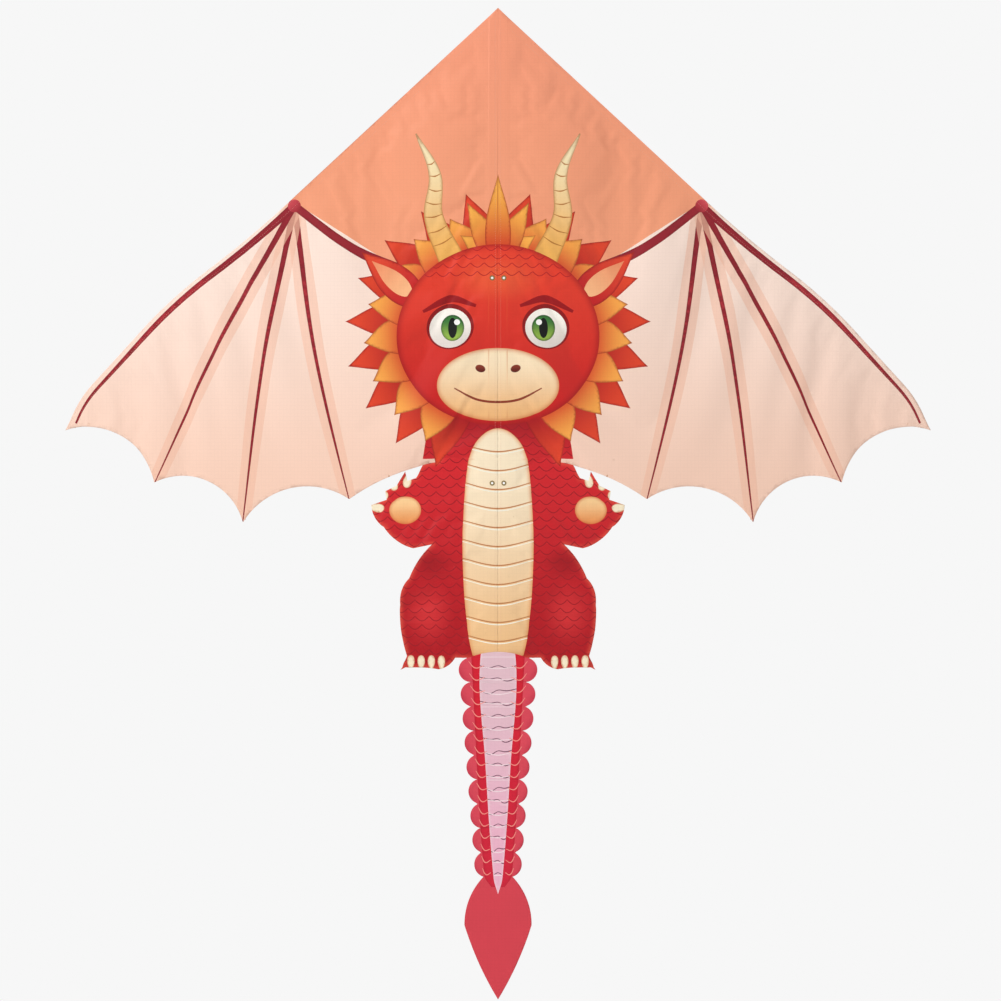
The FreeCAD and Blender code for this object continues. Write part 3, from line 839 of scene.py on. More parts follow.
class Slack:
    """Simulates the right wing's slack and gives it for any place on the pattern."""

    def __init__(self, pattern: Pattern, size: SlackSize) -> None:
        """Lay out the cloth's coarse mesh.

        Args:
            pattern: the flat pattern.
            size: the settings.
        """
        self.pattern, self.size = pattern, size
        panels = pattern.right()
        box = (0.0, float(panels[1][:, 1].min()), float(panels[0][:, 0].max()), pattern.nose)
        cloth = FlatCloth.cut(panels, [], panels[:1], Artwork(), rows(box, size.step))
        self.spots, self.faces = cloth.spots, cloth.faces
        used, renumbered = np.unique(self.faces, return_inverse=True)
        self.spots, self.faces = self.spots[used], renumbered.reshape(-1, 3)
        self.moved = np.zeros((len(self.spots), 3))
        self.simulate()
        flat = [Vector((x, 0, z)) for x, z in self.spots]
        self.tree = BVHTree.FromPolygons(flat, [tuple(f) for f in self.faces.tolist()])
        self.flat = flat

    def held(self) -> np.ndarray:
        """How firmly each spot is held by the rods and the spine, from 0 to 1."""
        x = self.spots[:, 0]
        lines = [self.pattern.inset(6.0)]
        for name in ("arm_batten_right", "leg_batten_right"):
            rod = self.pattern.wing.flat(node_points(name))
            ends = rod[[int(np.argmin(rod[:, 0])), int(np.argmax(rod[:, 0]))]][:, [0, 2]]
            lines.append(evenly(ends, 3.0))
        near = np.min([np.linalg.norm(self.spots[:, None] - evenly(line, 6.0)[None], axis=2).min(1)
                       for line in lines], axis=0)
        near = np.minimum(near, np.maximum(x - self.pattern.wing.hinge[0], 0))
        return np.clip(1.6 - near / self.size.pin * 1.6, 0, 1)

    def simulate(self) -> None:
        """Run the cloth simulation and keep how far every spot moves."""
        size = self.size
        bpy.ops.object.select_all(action="DESELECT")
        mesh = bpy.data.meshes.new("slack")
        start = np.stack([self.spots[:, 0], np.zeros(len(self.spots)), self.spots[:, 1]], axis=1) * MM
        mesh.from_pydata(start.tolist(), [], self.faces.tolist())
        piece = bpy.data.objects.new("slack", mesh)
        bpy.context.collection.objects.link(piece)
        pin = piece.vertex_groups.new(name="pin")
        for number, weight in enumerate(self.held()):
            pin.add([number], float(weight), "REPLACE")
        cloth = piece.modifiers.new("cloth", "CLOTH")
        cloth.settings.quality = 6
        cloth.settings.mass = 0.06
        cloth.settings.tension_stiffness = cloth.settings.compression_stiffness = 28
        cloth.settings.shear_stiffness = 10
        cloth.settings.bending_stiffness = 0.25
        cloth.settings.shrink_min = size.shrink
        cloth.settings.vertex_group_mass = "pin"
        cloth.settings.pin_stiffness = 4
        cloth.collision_settings.use_self_collision = False
        bpy.ops.object.effector_add(type="WIND", location=(0.3, 1.0, 0.0), rotation=(math.radians(90), 0, 0))
        wind = bpy.context.object
        wind.field.strength = size.wind
        wind.field.noise = 1.6
        wind.field.seed = 7
        bpy.context.scene.frame_end = size.frames
        for number in range(1, size.frames + 1):
            bpy.context.scene.frame_set(number)
        view = piece.evaluated_get(bpy.context.evaluated_depsgraph_get())
        ended = np.array([v.co for v in view.data.vertices])
        bpy.context.scene.frame_set(1)
        bpy.data.objects.remove(wind)
        bpy.data.objects.remove(piece)
        moved = (ended - start) / MM
        moved *= (1 - self.held())[:, None]
        LOG.info("slack: %.1f mm forward, %.1f mm back, %.1f mm in plane", -moved[:, 1].min(), moved[:, 1].max(),
                 np.abs(moved[:, [0, 2]]).max())
        y = moved[:, 1]
        self.moved = np.stack([np.clip(moved[:, 0], -2, 2), np.where(
            y < 0, -size.forward * np.tanh(-y / size.forward), size.back * np.tanh(y / size.back)),
            np.clip(moved[:, 2], -2, 2)], axis=1)

    def at(self, spots: np.ndarray) -> np.ndarray:
        """How far the cloth has moved from flat at places on the pattern.

        Args:
            spots: x and z on either side of the spine.

        Returns:
            The movement in x, y and z.
        """
        found = np.zeros((len(spots), 3))
        if not self.moved.any():
            return found
        for number, (x, z) in enumerate(spots):
            side = -1 if x < 0 else 1
            place, _, face, _ = self.tree.find_nearest(Vector((abs(x), 0, z)))
            ring = self.faces[face]
            moved = barycentric_transform(place, *(self.flat[v] for v in ring),
                                          *(Vector(self.moved[v]) for v in ring))
            found[number] = (moved.x * side, moved.y, moved.z)
        return found


# ---- finishes -----------------------------------------------------------------------------

class Wire:
    """Small helpers to wire shader nodes."""

    def __init__(self, tree: bpy.types.NodeTree) -> None:
        """Wire nodes in this tree."""
        self.tree = tree

    def add(self, kind: str, inputs: Optional[dict] = None, **settings: object) -> bpy.types.Node:
        """Add a node.

        Args:
            kind: the node's type.
            inputs: values or sockets for its inputs, by name or number.
            settings: the node's own properties.

        Returns:
            The node.
        """
        node = self.tree.nodes.new(kind)
        for name, value in settings.items():
            setattr(node, name, value)
        for name, value in (inputs or {}).items():
            if isinstance(value, bpy.types.NodeSocket):
                self.tree.links.new(value, node.inputs[name])
            else:
                node.inputs[name].default_value = value
        return node

    def maths(self, what: str, one: object, two: object = 0.0, three: object = 0.0) -> bpy.types.NodeSocket:
        """Add a Math node and give its result."""
        return self.add("ShaderNodeMath", {0: one, 1: two, 2: three}, operation=what).outputs[0]


def group(name: str, inputs: dict[str, tuple[str, object]], outputs: dict[str, str]) -> tuple:
    """Start a shader node group.

    Args:
        name: its name.
        inputs: socket type and value of each input.
        outputs: socket type of each output.

    Returns:
        The group's tree, its wiring helper, and its input and output nodes.
    """
    tree = bpy.data.node_groups.new(name, "ShaderNodeTree")
    for label, (kind, value) in inputs.items():
        tree.interface.new_socket(label, in_out="INPUT", socket_type=kind).default_value = value
    for label, kind in outputs.items():
        tree.interface.new_socket(label, in_out="OUTPUT", socket_type=kind)
    wire = Wire(tree)
    return tree, wire, wire.add("NodeGroupInput"), wire.add("NodeGroupOutput")


def weave_group() -> bpy.types.NodeTree:
    """Plain weave with thicker threads at even steps."""
    tree, wire, start, end = group(
        "weave", {"Thread": ("NodeSocketFloat", 0.0005), "Rib": ("NodeSocketFloat", 0.005)},
        {"Height": "NodeSocketFloat", "Rib": "NodeSocketFloat"})
    place = wire.add("ShaderNodeSeparateXYZ", {0: wire.add("ShaderNodeTexCoord").outputs["Object"]})
    x, z = place.outputs["X"], place.outputs["Z"]
    across = wire.maths("SINE", wire.maths("MULTIPLY", wire.maths("DIVIDE", x, start.outputs["Thread"]), math.pi))
    along = wire.maths("SINE", wire.maths("MULTIPLY", wire.maths("DIVIDE", z, start.outputs["Thread"]), math.pi))
    plain = wire.maths("MULTIPLY_ADD", wire.maths("MULTIPLY", across, along), 0.5, 0.5)
    ribs = []
    for line in (x, z):
        step = wire.maths("FRACT", wire.maths("DIVIDE", line, start.outputs["Rib"]))
        ribs.append(wire.maths("GREATER_THAN", 0.1, step))
    rib = wire.maths("MAXIMUM", *ribs)
    wire.tree.links.new(wire.maths("ADD", plain, rib), end.inputs["Height"])
    wire.tree.links.new(rib, end.inputs["Rib"])
    return tree


def wear_group() -> bpy.types.NodeTree:
    """Soft blotches and fine grain."""
    tree, wire, start, end = group(
        "grain", {"Blotch": ("NodeSocketFloat", 12.0), "Grain": ("NodeSocketFloat", 900.0)},
        {"Blotch": "NodeSocketFloat", "Grain": "NodeSocketFloat"})
    place = wire.add("ShaderNodeTexCoord").outputs["Object"]
    for label, detail in (("Blotch", 4.0), ("Grain", 2.0)):
        noise = wire.add("ShaderNodeTexNoise", {"Vector": place, "Scale": start.outputs[label], "Detail": detail})
        wire.tree.links.new(noise.outputs["Fac"], end.inputs[label])
    return tree


def strand_group() -> bpy.types.NodeTree:
    """Fine lines that run along a rod, a tape or a thread."""
    tree, wire, start, end = group(
        "strands", {"Fineness": ("NodeSocketVector", (2500.0, 2500.0, 60.0))}, {"Strand": "NodeSocketFloat"})
    place = wire.add("ShaderNodeTexCoord").outputs["Object"]
    spread = wire.add("ShaderNodeVectorMath", {0: place, 1: start.outputs["Fineness"]}, operation="MULTIPLY")
    noise = wire.add("ShaderNodeTexNoise", {"Vector": spread.outputs[0], "Scale": 1.0, "Detail": 3.0})
    wire.tree.links.new(noise.outputs["Fac"], end.inputs["Strand"])
    return tree


@dataclass(frozen=True)
class Finish:
    """A plain finish: its colours, gloss and surface grain."""

    name: str
    slot: str
    colour: str
    worn: str
    rough: float
    metal: float = 0.0
    sheen: float = 0.0
    grain: float = 0.1
    depth: float = 0.00004
    fineness: tuple[float, float, float] = (2500.0, 2500.0, 2500.0)


class Look(Enum):
    """The plain finishes."""

    HEM = Finish("hem_tape", "hem_cloth", "f6d3bd", "eec3ab", 0.62, sheen=0.25, fineness=(1800.0, 1800.0, 1800.0))
    SLEEVE = Finish("sleeve_cloth", "hem_cloth", "f2b091", "e8a284", 0.6, sheen=0.25)
    THREAD = Finish("thread", "hem_cloth", "f4c6b0", "e0a68e", 0.5, sheen=0.3)
    WEBBING = Finish("webbing", "pocket_webbing", "2a2a2e", "3a3a3f", 0.7, sheen=0.2, depth=0.00012,
                     fineness=(1400.0, 1400.0, 900.0))
    ROD = Finish("fibreglass", "fibreglass", "2b2b2e", "3a3a3d", 0.34, grain=0.2, fineness=(2600.0, 2600.0, 40.0))
    VINYL = Finish("vinyl", "vinyl", "1d1d20", "2b2b2e", 0.42, grain=0.12)
    BRASS = Finish("brass", "eyelet_metal", "e6cf94", "bfa262", 0.24, metal=1.0, grain=0.16, depth=0.00001)


class Finishes:
    """Builds the materials, each once."""

    def __init__(self) -> None:
        """Build the node groups and start with no material."""
        self.weave, self.grain, self.strands = weave_group(), wear_group(), strand_group()
        self.made: dict[str, bpy.types.Material] = {}

    def start(self, name: str) -> tuple[bpy.types.Material, Wire]:
        """A new material with no nodes."""
        material = bpy.data.materials.new(name)
        material.use_nodes = True
        material.node_tree.nodes.clear()
        self.made[name] = material
        return material, Wire(material.node_tree)

    def plain(self, look: Look) -> bpy.types.Material:
        """The material of a plain finish."""
        finish = look.value
        if finish.name in self.made:
            return self.made[finish.name]
        material, wire = self.start(finish.name)
        grain = wire.add("ShaderNodeGroup", {}, node_tree=self.grain)
        strands = wire.add("ShaderNodeGroup", {"Fineness": finish.fineness}, node_tree=self.strands)
        colour = wire.add("ShaderNodeMixRGB", {0: grain.outputs["Blotch"], 1: rgba(finish.colour),
                                               2: rgba(finish.worn)}).outputs[0]
        rough = wire.maths("MULTIPLY_ADD", strands.outputs["Strand"], finish.grain, finish.rough - finish.grain / 2)
        bump = wire.add("ShaderNodeBump", {"Height": strands.outputs["Strand"], "Distance": finish.depth,
                                           "Strength": 0.8})
        shader = wire.add("ShaderNodeBsdfPrincipled",
                          {"Base Color": colour, "Roughness": rough, "Metallic": finish.metal,
                           "Sheen Weight": finish.sheen, "Normal": bump.outputs[0]})
        wire.add("ShaderNodeOutputMaterial", {0: shader.outputs[0]})
        return material

    def cloth(self, name: str, back: bool) -> bpy.types.Material:
        """Printed cloth, or its back, where the print shows through paler."""
        if name in self.made:
            return self.made[name]
        material, wire = self.start(name)
        weave = wire.add("ShaderNodeGroup", {}, node_tree=self.weave)
        grain = wire.add("ShaderNodeGroup", {"Blotch": 7.0, "Grain": 1500.0}, node_tree=self.grain)
        colour = wire.add("ShaderNodeAttribute", {}, attribute_name=PRINT).outputs["Color"]
        if back:
            colour = wire.add("ShaderNodeMixRGB", {0: 0.36, 1: colour, 2: rgba("fbeee6")}).outputs[0]
        shade = wire.maths("MULTIPLY_ADD", grain.outputs["Grain"], 0.10, 0.95)
        shade = wire.maths("SUBTRACT", shade, wire.maths("MULTIPLY", weave.outputs["Rib"], 0.035))
        colour = wire.add("ShaderNodeMixRGB", {0: 1.0, 1: colour, 2: shade}, blend_type="MULTIPLY").outputs[0]
        rough = wire.maths("MULTIPLY_ADD", grain.outputs["Blotch"], 0.12, 0.46)
        bump = wire.add("ShaderNodeBump", {"Height": weave.outputs["Height"], "Distance": 0.00005, "Strength": 0.5})
        shader = wire.add("ShaderNodeBsdfPrincipled",
                          {"Base Color": colour, "Roughness": rough, "Sheen Weight": 0.03,
                           "Specular IOR Level": 0.22, "Normal": bump.outputs[0]})
        wire.add("ShaderNodeOutputMaterial", {0: shader.outputs[0]})
        return material


# ---- pieces -------------------------------------------------------------------------------

def mesh_piece(name: str, spots: np.ndarray, faces: list, colours: Optional[np.ndarray] = None) -> bpy.types.Object:
    """Make an object from points in millimetres.

    Args:
        name: the piece's name.
        spots: its points.
        faces: its faces.
        colours: the linear colour of every face corner, in order.

    Returns:
        The object, smooth shaded.
    """
    mesh = bpy.data.meshes.new(name)
    mesh.from_pydata((np.asarray(spots) * MM).tolist(), [], faces)
    if colours is not None:
        layer = mesh.attributes.new(PRINT, "FLOAT_COLOR", "CORNER")
        flat = np.hstack([colours.reshape(-1, 3), np.ones((colours.size // 3, 1))])
        layer.data.foreach_set("color", flat.astype(np.float32).ravel())
    mesh.shade_smooth()
    piece = bpy.data.objects.new(name, mesh)
    bpy.context.collection.objects.link(piece)
    return piece


def pick(piece: bpy.types.Object) -> None:
    """Make a piece the only selected one."""
    bpy.ops.object.select_all(action="DESELECT")
    piece.select_set(True)
    bpy.context.view_layer.objects.active = piece


def face_outwards(piece: bpy.types.Object) -> None:
    """Turn a piece's faces outwards."""
    pick(piece)
    bpy.ops.object.mode_set(mode="EDIT")
    bpy.ops.mesh.select_all(action="SELECT")
    bpy.ops.mesh.normals_make_consistent(inside=False)
    bpy.ops.object.mode_set(mode="OBJECT")


def round_edges(piece: bpy.types.Object, width: float) -> None:
    """Bevel a piece's sharp edges, width metres wide, and shade it smooth."""
    edge = piece.modifiers.new("edge", "BEVEL")
    edge.width, edge.segments, edge.angle_limit = width, 2, math.radians(50)
    bpy.ops.object.modifier_apply(modifier=edge.name)
    bpy.ops.object.shade_smooth()


def thicken(piece: bpy.types.Object, thickness: float, back: int = 0) -> None:
    """Give a sheet its thickness, away from its front.

    Args:
        piece: the sheet.
        thickness: in millimetres.
        back: how many material slots further on the back's material is.
    """
    pick(piece)
    solid = piece.modifiers.new("thickness", "SOLIDIFY")
    solid.thickness = thickness * MM
    solid.offset = -1
    solid.material_offset = back
    bpy.ops.object.modifier_apply(modifier=solid.name)


def finish_as(piece: bpy.types.Object, body: str, slot: str, *materials: bpy.types.Material) -> bpy.types.Object:
    """Give a piece its materials, and let it ride on a body."""
    piece.data.materials.clear()
    for material in materials:
        piece.data.materials.append(material)
    if body:
        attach(piece, body)
    return piece


class Kite:
    """Builds every shown piece of the kite."""

    CLOTH = 0.3
    FRONT = 0.05
    TAIL_FRONT = -0.75
    STRIP = 0.3
    NOSE_CLEAR = 17.0
    TIP_CLEAR = 38.0
    FITTING_GAP = 27.0
    CONNECTOR_GAP = 14.4
    SPAR_INSET = 6.0
    TUBE_SIDES = 32
    TUBE_BORE = 2.02

    def __init__(self) -> None:
        """Read the pattern, then let the cloth slacken."""
        self.wing = Wing()
        self.pattern = Pattern(self.wing)
        self.slack = Slack(self.pattern, SlackSize())
        self.finishes = Finishes()

    def build(self) -> None:
        """Build all pieces."""
        self.dress_frame()
        cloths = self.cloths()
        trims = self.hems() + self.stitching()
        for side, cloth in cloths.items():
            self.declare_cloth()
        self.leading_sleeves()
        self.spine_sleeve()
        self.batten_pockets()
        self.patches()
        self.webbing_pockets()
        self.connector_arms()
        self.tail()

    def dress_frame(self) -> None:
        """Give the rods, caps, fittings and eyelets their materials."""
        looks = {"rod": Look.ROD, "spar": Look.ROD, "spreader": Look.ROD, "batten": Look.ROD, "cap": Look.VINYL,
                 "connector": Look.VINYL, "fitting": Look.VINYL, "rings": Look.VINYL, "eyelets": Look.BRASS}
        for name, node in frame["nodes"].items():
            words = [word for word in looks if word in name]
            look = looks["cap"] if "cap" in name else looks[words[-1]] if words else Look.HEM
            node.data.materials.clear()
            node.data.materials.append(self.finishes.plain(look))

    # -- printed cloth --

    def place(self, flat: np.ndarray, y: np.ndarray | float = 0.0) -> np.ndarray:
        """Put places on the pattern where the slackened cloth is.

        Args:
            flat: x and z on the pattern.
            y: how far behind the cloth's front they lie.

        Returns:
            The places in the frame, in millimetres.
        """
        spots = np.stack([flat[:, 0], np.broadcast_to(y, len(flat)), flat[:, 1]], axis=1)
        return self.wing.fold(spots + self.slack.at(flat))

    def loose(self) -> np.ndarray:
        """The loose points of the printed cloth: close in the figure, wider on the wings."""
        fine = rows((-228, -540, 228, 262), 3.6)
        figure = (fine[:, 1] < -232) & (np.abs(fine[:, 0]) > 182)
        wide = rows((-602, -336, 602, 372), 6.5)
        covered = (np.abs(wide[:, 0]) < 226) & (wide[:, 1] < 260)
        spots = np.vstack([fine[~figure], wide[~covered]])
        held = np.zeros(len(spots), bool)
        for panel in self.pattern.panels():
            held |= inside(spots, panel)
        return spots[held]

    def cloths(self) -> dict[str, bpy.types.Object]:
        """The printed cloth: one piece a side, from the spine to the wing's tip."""
        pattern = self.pattern
        art = DragonPrint(pattern).draw()
        span, top, foot = 700.0, pattern.nose + 20, -600.0
        halves = [np.array([(0, foot), (sign * span, foot), (sign * span, top), (0, top)]) for sign in SIDES.values()]
        flat = FlatCloth.cut(pattern.panels(), pattern.holes, halves, art, self.loose())
        materials = [self.finishes.cloth("printed_cloth", False), self.finishes.cloth("printed_cloth_back", True)]
        made = {}
        for number, side in enumerate(SIDES):
            part = flat.part(number)
            piece = mesh_piece(f"cloth_{side}", self.place(part.spots, self.FRONT), part.faces.tolist(), part.colours)
            piece["flat_area"] = part.area()
            finish_as(piece, "", "printed_cloth", *materials)
            thicken(piece, self.CLOTH, back=1)
            LOG.info("%s: %d faces", piece.name, len(piece.data.polygons))
            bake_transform(piece)
            made[side] = piece
        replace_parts(made["right"], "sail_right", "figure_right", "centre_strip")
        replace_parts(made["left"], "sail_left", "figure_left")
        return made

    def declare_cloth(self) -> None:
        """Stack the outlines of the right panels; the stack is not kept."""
        panel = np.vstack(self.pattern.right())

    # -- strips of cloth --

    def swept(self, name: str, runs: list[np.ndarray], profile: np.ndarray, thickness: float,
              gather: float = 0.0) -> bpy.types.Object:
        """Sweep a strip's profile along lines on the pattern.

        Args:
            name: the piece's name.
            runs: open lines, each with its own strip.
            profile: distance to the line's right and height behind the cloth's front.
            thickness: of the strip.
            gather: how much its crown wanders.

        Returns:
            The strip.
        """
        dice = random.Random(len(name))
        spots, faces = [], []
        crown = profile[:, 1] > profile[:, 1].max() * 0.4
        for line in runs:
            wander = np.interp(np.arange(len(line)), np.arange(0, len(line) + 4, 4),
                               [dice.uniform(-gather, gather) for _ in range(0, len(line) + 4, 4)])
            first = len(spots)
            sides = [offset(line, away) for away in profile[:, 0]]
            for k in range(len(line)):
                spots += [(sides[j][k][0], sides[j][k][1], y + wander[k] * crown[j])
                          for j, y in enumerate(profile[:, 1])]
            count = len(profile)
            for k in range(len(line) - 1):
                base = first + k * count
                faces += [(base + j, base + j + 1, base + j + 1 + count, base + j + count) for j in range(count - 1)]
        spots = np.array(spots)
        piece = mesh_piece(name, self.place(spots[:, :2], spots[:, 2]), faces)
        face_outwards(piece)
        thicken(piece, thickness)
        return piece

    @staticmethod
    def arch(reach: float, half: float, low: float, crown: float) -> np.ndarray:
        """The profile of a strip stitched down on both sides of a rod.

        Args:
            reach: half of the strip's width.
            half: half of the arch's width.
            low: height of the stitched-down sides.
            crown: height of the arch.

        Returns:
            Distances and heights.
        """
        turns = np.linspace(math.pi, 0, 11)
        lift = low + (crown - low) * np.sin(turns) ** 0.75
        arch = np.stack([half * np.cos(turns), lift], axis=1)
        sides = [(-reach, low), (-(reach + half) / 2, low)], [((reach + half) / 2, low), (reach, low)]
        return np.vstack([sides[0], arch, sides[1]])

    def mirrored(self, runs: list[np.ndarray], side: str) -> list[np.ndarray]:
        """Lines of the right wing, for either side."""
        return [line * (SIDES[side], 1) for line in runs]

    def leading_sleeves(self) -> None:
        """Sleeves of cloth over the leading spars, open at the spreader's fitting."""
        line = evenly(self.pattern.inset(self.SPAR_INSET), 3.5)
        low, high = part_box("leading_fitting_right")
        middle = self.wing.flat(np.array([(low + high) / 2 / MM]))[0][[0, 2]]
        tip = self.pattern.leading[-1]
        covered = (np.linalg.norm(line - tip, axis=1) > self.TIP_CLEAR) & (line[:, 0] > self.NOSE_CLEAR)
        gap = np.linalg.norm(line - middle, axis=1) < self.FITTING_GAP
        cut = int(np.argmax(gap))
        runs = [line[covered & ~gap & (np.arange(len(line)) < cut)],
                line[covered & ~gap & (np.arange(len(line)) > cut)]]
        profile = self.arch(4.8, 3.1, 0.45, 7.4)
        for side in SIDES:
            piece = self.swept(f"spar_sleeve_{side}", self.mirrored(runs, side), profile, self.STRIP, gather=0.3)
            finish_as(piece, f"wing_{side}", "hem_cloth", self.finishes.plain(Look.SLEEVE))
            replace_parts(piece, f"leading_sleeve_{side}")

    def spine_sleeve(self) -> None:
        """The sleeve over the spine, open at the centre connector."""
        low, high = (corner.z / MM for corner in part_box("spine_sleeve"))
        middle = sum(corner.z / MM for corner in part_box("centre_connector")) / 2
        ends = [(high, middle + self.CONNECTOR_GAP), (middle - self.CONNECTOR_GAP, low)]
        runs = [evenly(np.array([(0, top), (0, foot)]), 4) for top, foot in ends]
        profile = self.arch(4.4, 2.9, 1.1, 7.3)
        piece = self.swept("spine_rod_sleeve", runs, profile, self.STRIP, gather=0.25)
        finish_as(piece, "spine", "hem_cloth", self.finishes.plain(Look.SLEEVE))
        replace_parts(piece, "spine_sleeve")

    def batten_pockets(self) -> None:
        """Narrow sleeves over the battens in the arms and legs."""
        for part in ("arm", "leg"):
            rod = self.wing.flat(node_points(f"{part}_batten_right"))[:, [0, 2]]
            middle = rod.mean(axis=0)
            way = np.linalg.svd(rod - middle)[2][0]
            way *= np.sign(way[0])
            reach = (rod - middle) @ way
            inner, outer = middle + way * reach.min(), middle + way * reach.max()
            line = evenly(np.array([inner - way * 3, outer + way * 3]), 3.5)
            profile = self.arch(5.0, 2.45, 0.45, 4.9)
            for side in SIDES:
                piece = self.swept(f"{part}_batten_sleeve_{side}", self.mirrored([line], side), profile, self.STRIP,
                                   0.25)
                finish_as(piece, f"wing_{side}", "hem_cloth", self.finishes.plain(Look.SLEEVE))
                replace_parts(piece, f"{part}_pocket_{side}")

    def hems(self) -> list[bpy.types.Object]:
        """The folded hem along each wing's scalloped edge."""
        line = self.free_edge()
        profile = np.array([(-0.35, 0.5), (-1.6, 0.55), (-3.4, 0.55), (-5.2, 0.5)])
        pieces = []
        for side, sign in SIDES.items():
            run = line * (sign, 1)
            turned = profile * (sign if self.inner_right() else -sign, 1)
            piece = self.swept(f"trailing_hem_{side}", [run], turned, self.STRIP)
            finish_as(piece, f"wing_{side}", "hem_cloth", self.finishes.plain(Look.HEM))
            pieces.append(piece)
        return pieces

    def free_edge(self) -> np.ndarray:
        """The right wing's scalloped edge, from where it leaves the figure to just before the tip."""
        line = evenly(self.pattern.trailing, 3.0)
        free = ~inside(line, self.pattern.figure) & (line[:, 0] > 60)
        return line[free & (line[:, 0] < line[-1, 0] - 3)]

    def inner_right(self) -> bool:
        """Whether the cloth lies to the left of the right wing's trailing edge."""
        line = self.free_edge()
        return bool(inside(offset(line, -2.0), self.pattern.sail).mean() > 0.5)

    # -- stitches --

    def stitches(self, name: str, lines: list[np.ndarray], y: float, pitch: float = 3.2, length: float = 2.2,
                 width: float = 0.32) -> bpy.types.Object:
        """Sew a row of stitches along each line.

        Args:
            name: the piece's name.
            lines: open lines on the pattern.
            y: the height behind the cloth's front.
            pitch: from stitch to stitch.
            length: of one stitch.
            width: of one stitch.

        Returns:
            All stitches, as one piece.
        """
        spots, faces = [], []
        heights = []
        for line in lines:
            at = evenly(line, pitch)
            for (x, z), (tx, tz) in zip(at, headings(at)):
                base = len(spots)
                for along, across, lift in ((-1, 0, 0), (0, -1, 0), (0, 0, -1), (0, 1, 0), (0, 0, 1), (1, 0, 0)):
                    spots.append((x + tx * along * length / 2 - tz * across * width / 2,
                                  z + tz * along * length / 2 + tx * across * width / 2))
                    heights.append(y + lift * width / 2)
                for ring in ((1, 2), (2, 3), (3, 4), (4, 1)):
                    faces += [(base, base + ring[0], base + ring[1]), (base + 5, base + ring[1], base + ring[0])]
        piece = mesh_piece(name, self.place(np.array(spots), np.array(heights)), faces)
        face_outwards(piece)
        return piece

    def stitching(self) -> list[bpy.types.Object]:
        """Rows of stitches along the edges and the spine."""
        pattern = self.pattern
        edge = evenly(pattern.trailing, 1.0)
        end = pattern.leading[-1, 0] - 4
        leading = [line[(line[:, 0] > self.NOSE_CLEAR) & (line[:, 0] < end) & inside(line, pattern.sail)
                        & (edge_distance(line, edge) > 3)]
                   for line in (evenly(pattern.inset(1.7), 2.0), evenly(pattern.inset(10.0), 2.0))]
        inward = -4.4 if self.inner_right() else 4.4
        trailing = offset(self.free_edge(), inward)
        made = []
        for side in SIDES:
            sewn = self.mirrored([*leading, trailing], side)
            piece = self.stitches(f"edge_stitches_{side}", sewn, self.FRONT - 0.02)
            finish_as(piece, f"wing_{side}", "hem_cloth", self.finishes.plain(Look.THREAD))
            made.append(piece)
        rows_down = [np.array([(x, pattern.nose - 18), (x, pattern.foot + 8)]) for x in (-3.7, 3.7)]
        spine = self.stitches("spine_stitches", rows_down, self.FRONT - 0.02)
        finish_as(spine, "spine", "hem_cloth", self.finishes.plain(Look.THREAD))
        return made

    # -- small parts --

    def patches(self) -> None:
        """Doubling patches under the eyelets."""
        for name in ("upper", "lower"):
            low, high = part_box(f"{name}_patch")
            middle = (low + high) / 2 / MM
            half = (high - low) / 2 / MM
            corners = [(-half.x, middle.z - half.z, 1), (half.x, middle.z - half.z, 1),
                       (half.x, middle.z + half.z, 1), (-half.x, middle.z + half.z, 1)]
            rings = [oval(x, middle.z, 2.0, 2.0) for x in (-8.0, 8.0)]
            panel = curve(corners)
            flat = FlatCloth.cut([panel], rings, [panel], Artwork(), rows(
                (-half.x, middle.z - half.z, half.x, middle.z + half.z), 3.0))
            part = flat.part(0)
            spots = np.stack([part.spots[:, 0], np.full(len(part.spots), 0.42), part.spots[:, 1]], axis=1)
            piece = mesh_piece(f"{name}_doubling", spots, part.faces.tolist())
            thicken(piece, 0.45)
            finish_as(piece, "spine", "hem_cloth", self.finishes.plain(Look.HEM))
            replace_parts(piece, f"{name}_patch")
            part.area()

    def pocket(self, name: str, node: str, body: str, mouth: int) -> bpy.types.Object:
        """A pocket of folded webbing.

        Args:
            name: the piece's name.
            node: the CAD node it stands for.
            body: the body it rides on.
            mouth: 1 if it opens upwards and -1 if downwards.

        Returns:
            The pocket.
        """
        low, high = (np.array(corner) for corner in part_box(node))
        bpy.ops.object.select_all(action="DESELECT")
        bpy.ops.mesh.primitive_cube_add(size=1, location=(0, 0, 0))
        piece = bpy.context.object
        piece.name = name
        piece.data.name = name
        piece.scale = high - low - 0.0002
        piece.location = (low + high) / 2
        bpy.ops.object.transform_apply(location=True, rotation=False, scale=True)
        bpy.ops.object.mode_set(mode="EDIT")
        bpy.ops.mesh.select_all(action="DESELECT")
        shell = bmesh.from_edit_mesh(piece.data)
        for face in shell.faces:
            face.select_set(face.normal.z * mouth > 0.9)
        bpy.ops.mesh.delete(type="FACE")
        bpy.ops.mesh.select_all(action="SELECT")
        bpy.ops.mesh.subdivide(number_cuts=6, smoothness=0.0)
        bpy.ops.object.mode_set(mode="OBJECT")
        middle, half = (low + high) / 2, (high - low) / 2
        for vertex in piece.data.vertices:
            away = (np.array(vertex.co) - middle) / half
            pull = 1 - 0.16 * (1 - away[0] ** 2) * abs(away[1]) - 0.1 * max(0, -mouth * away[2]) ** 3
            vertex.co.y = float(middle[1] + (vertex.co.y - middle[1]) * pull)
            vertex.co.x = float(middle[0] + (vertex.co.x - middle[0]) * (1 - 0.1 * max(0, -mouth * away[2]) ** 3))
        wall = piece.modifiers.new("wall", "SOLIDIFY")
        wall.thickness = 0.0007
        wall.offset = -1
        bpy.ops.object.modifier_apply(modifier=wall.name)
        round_edges(piece, 0.0009)
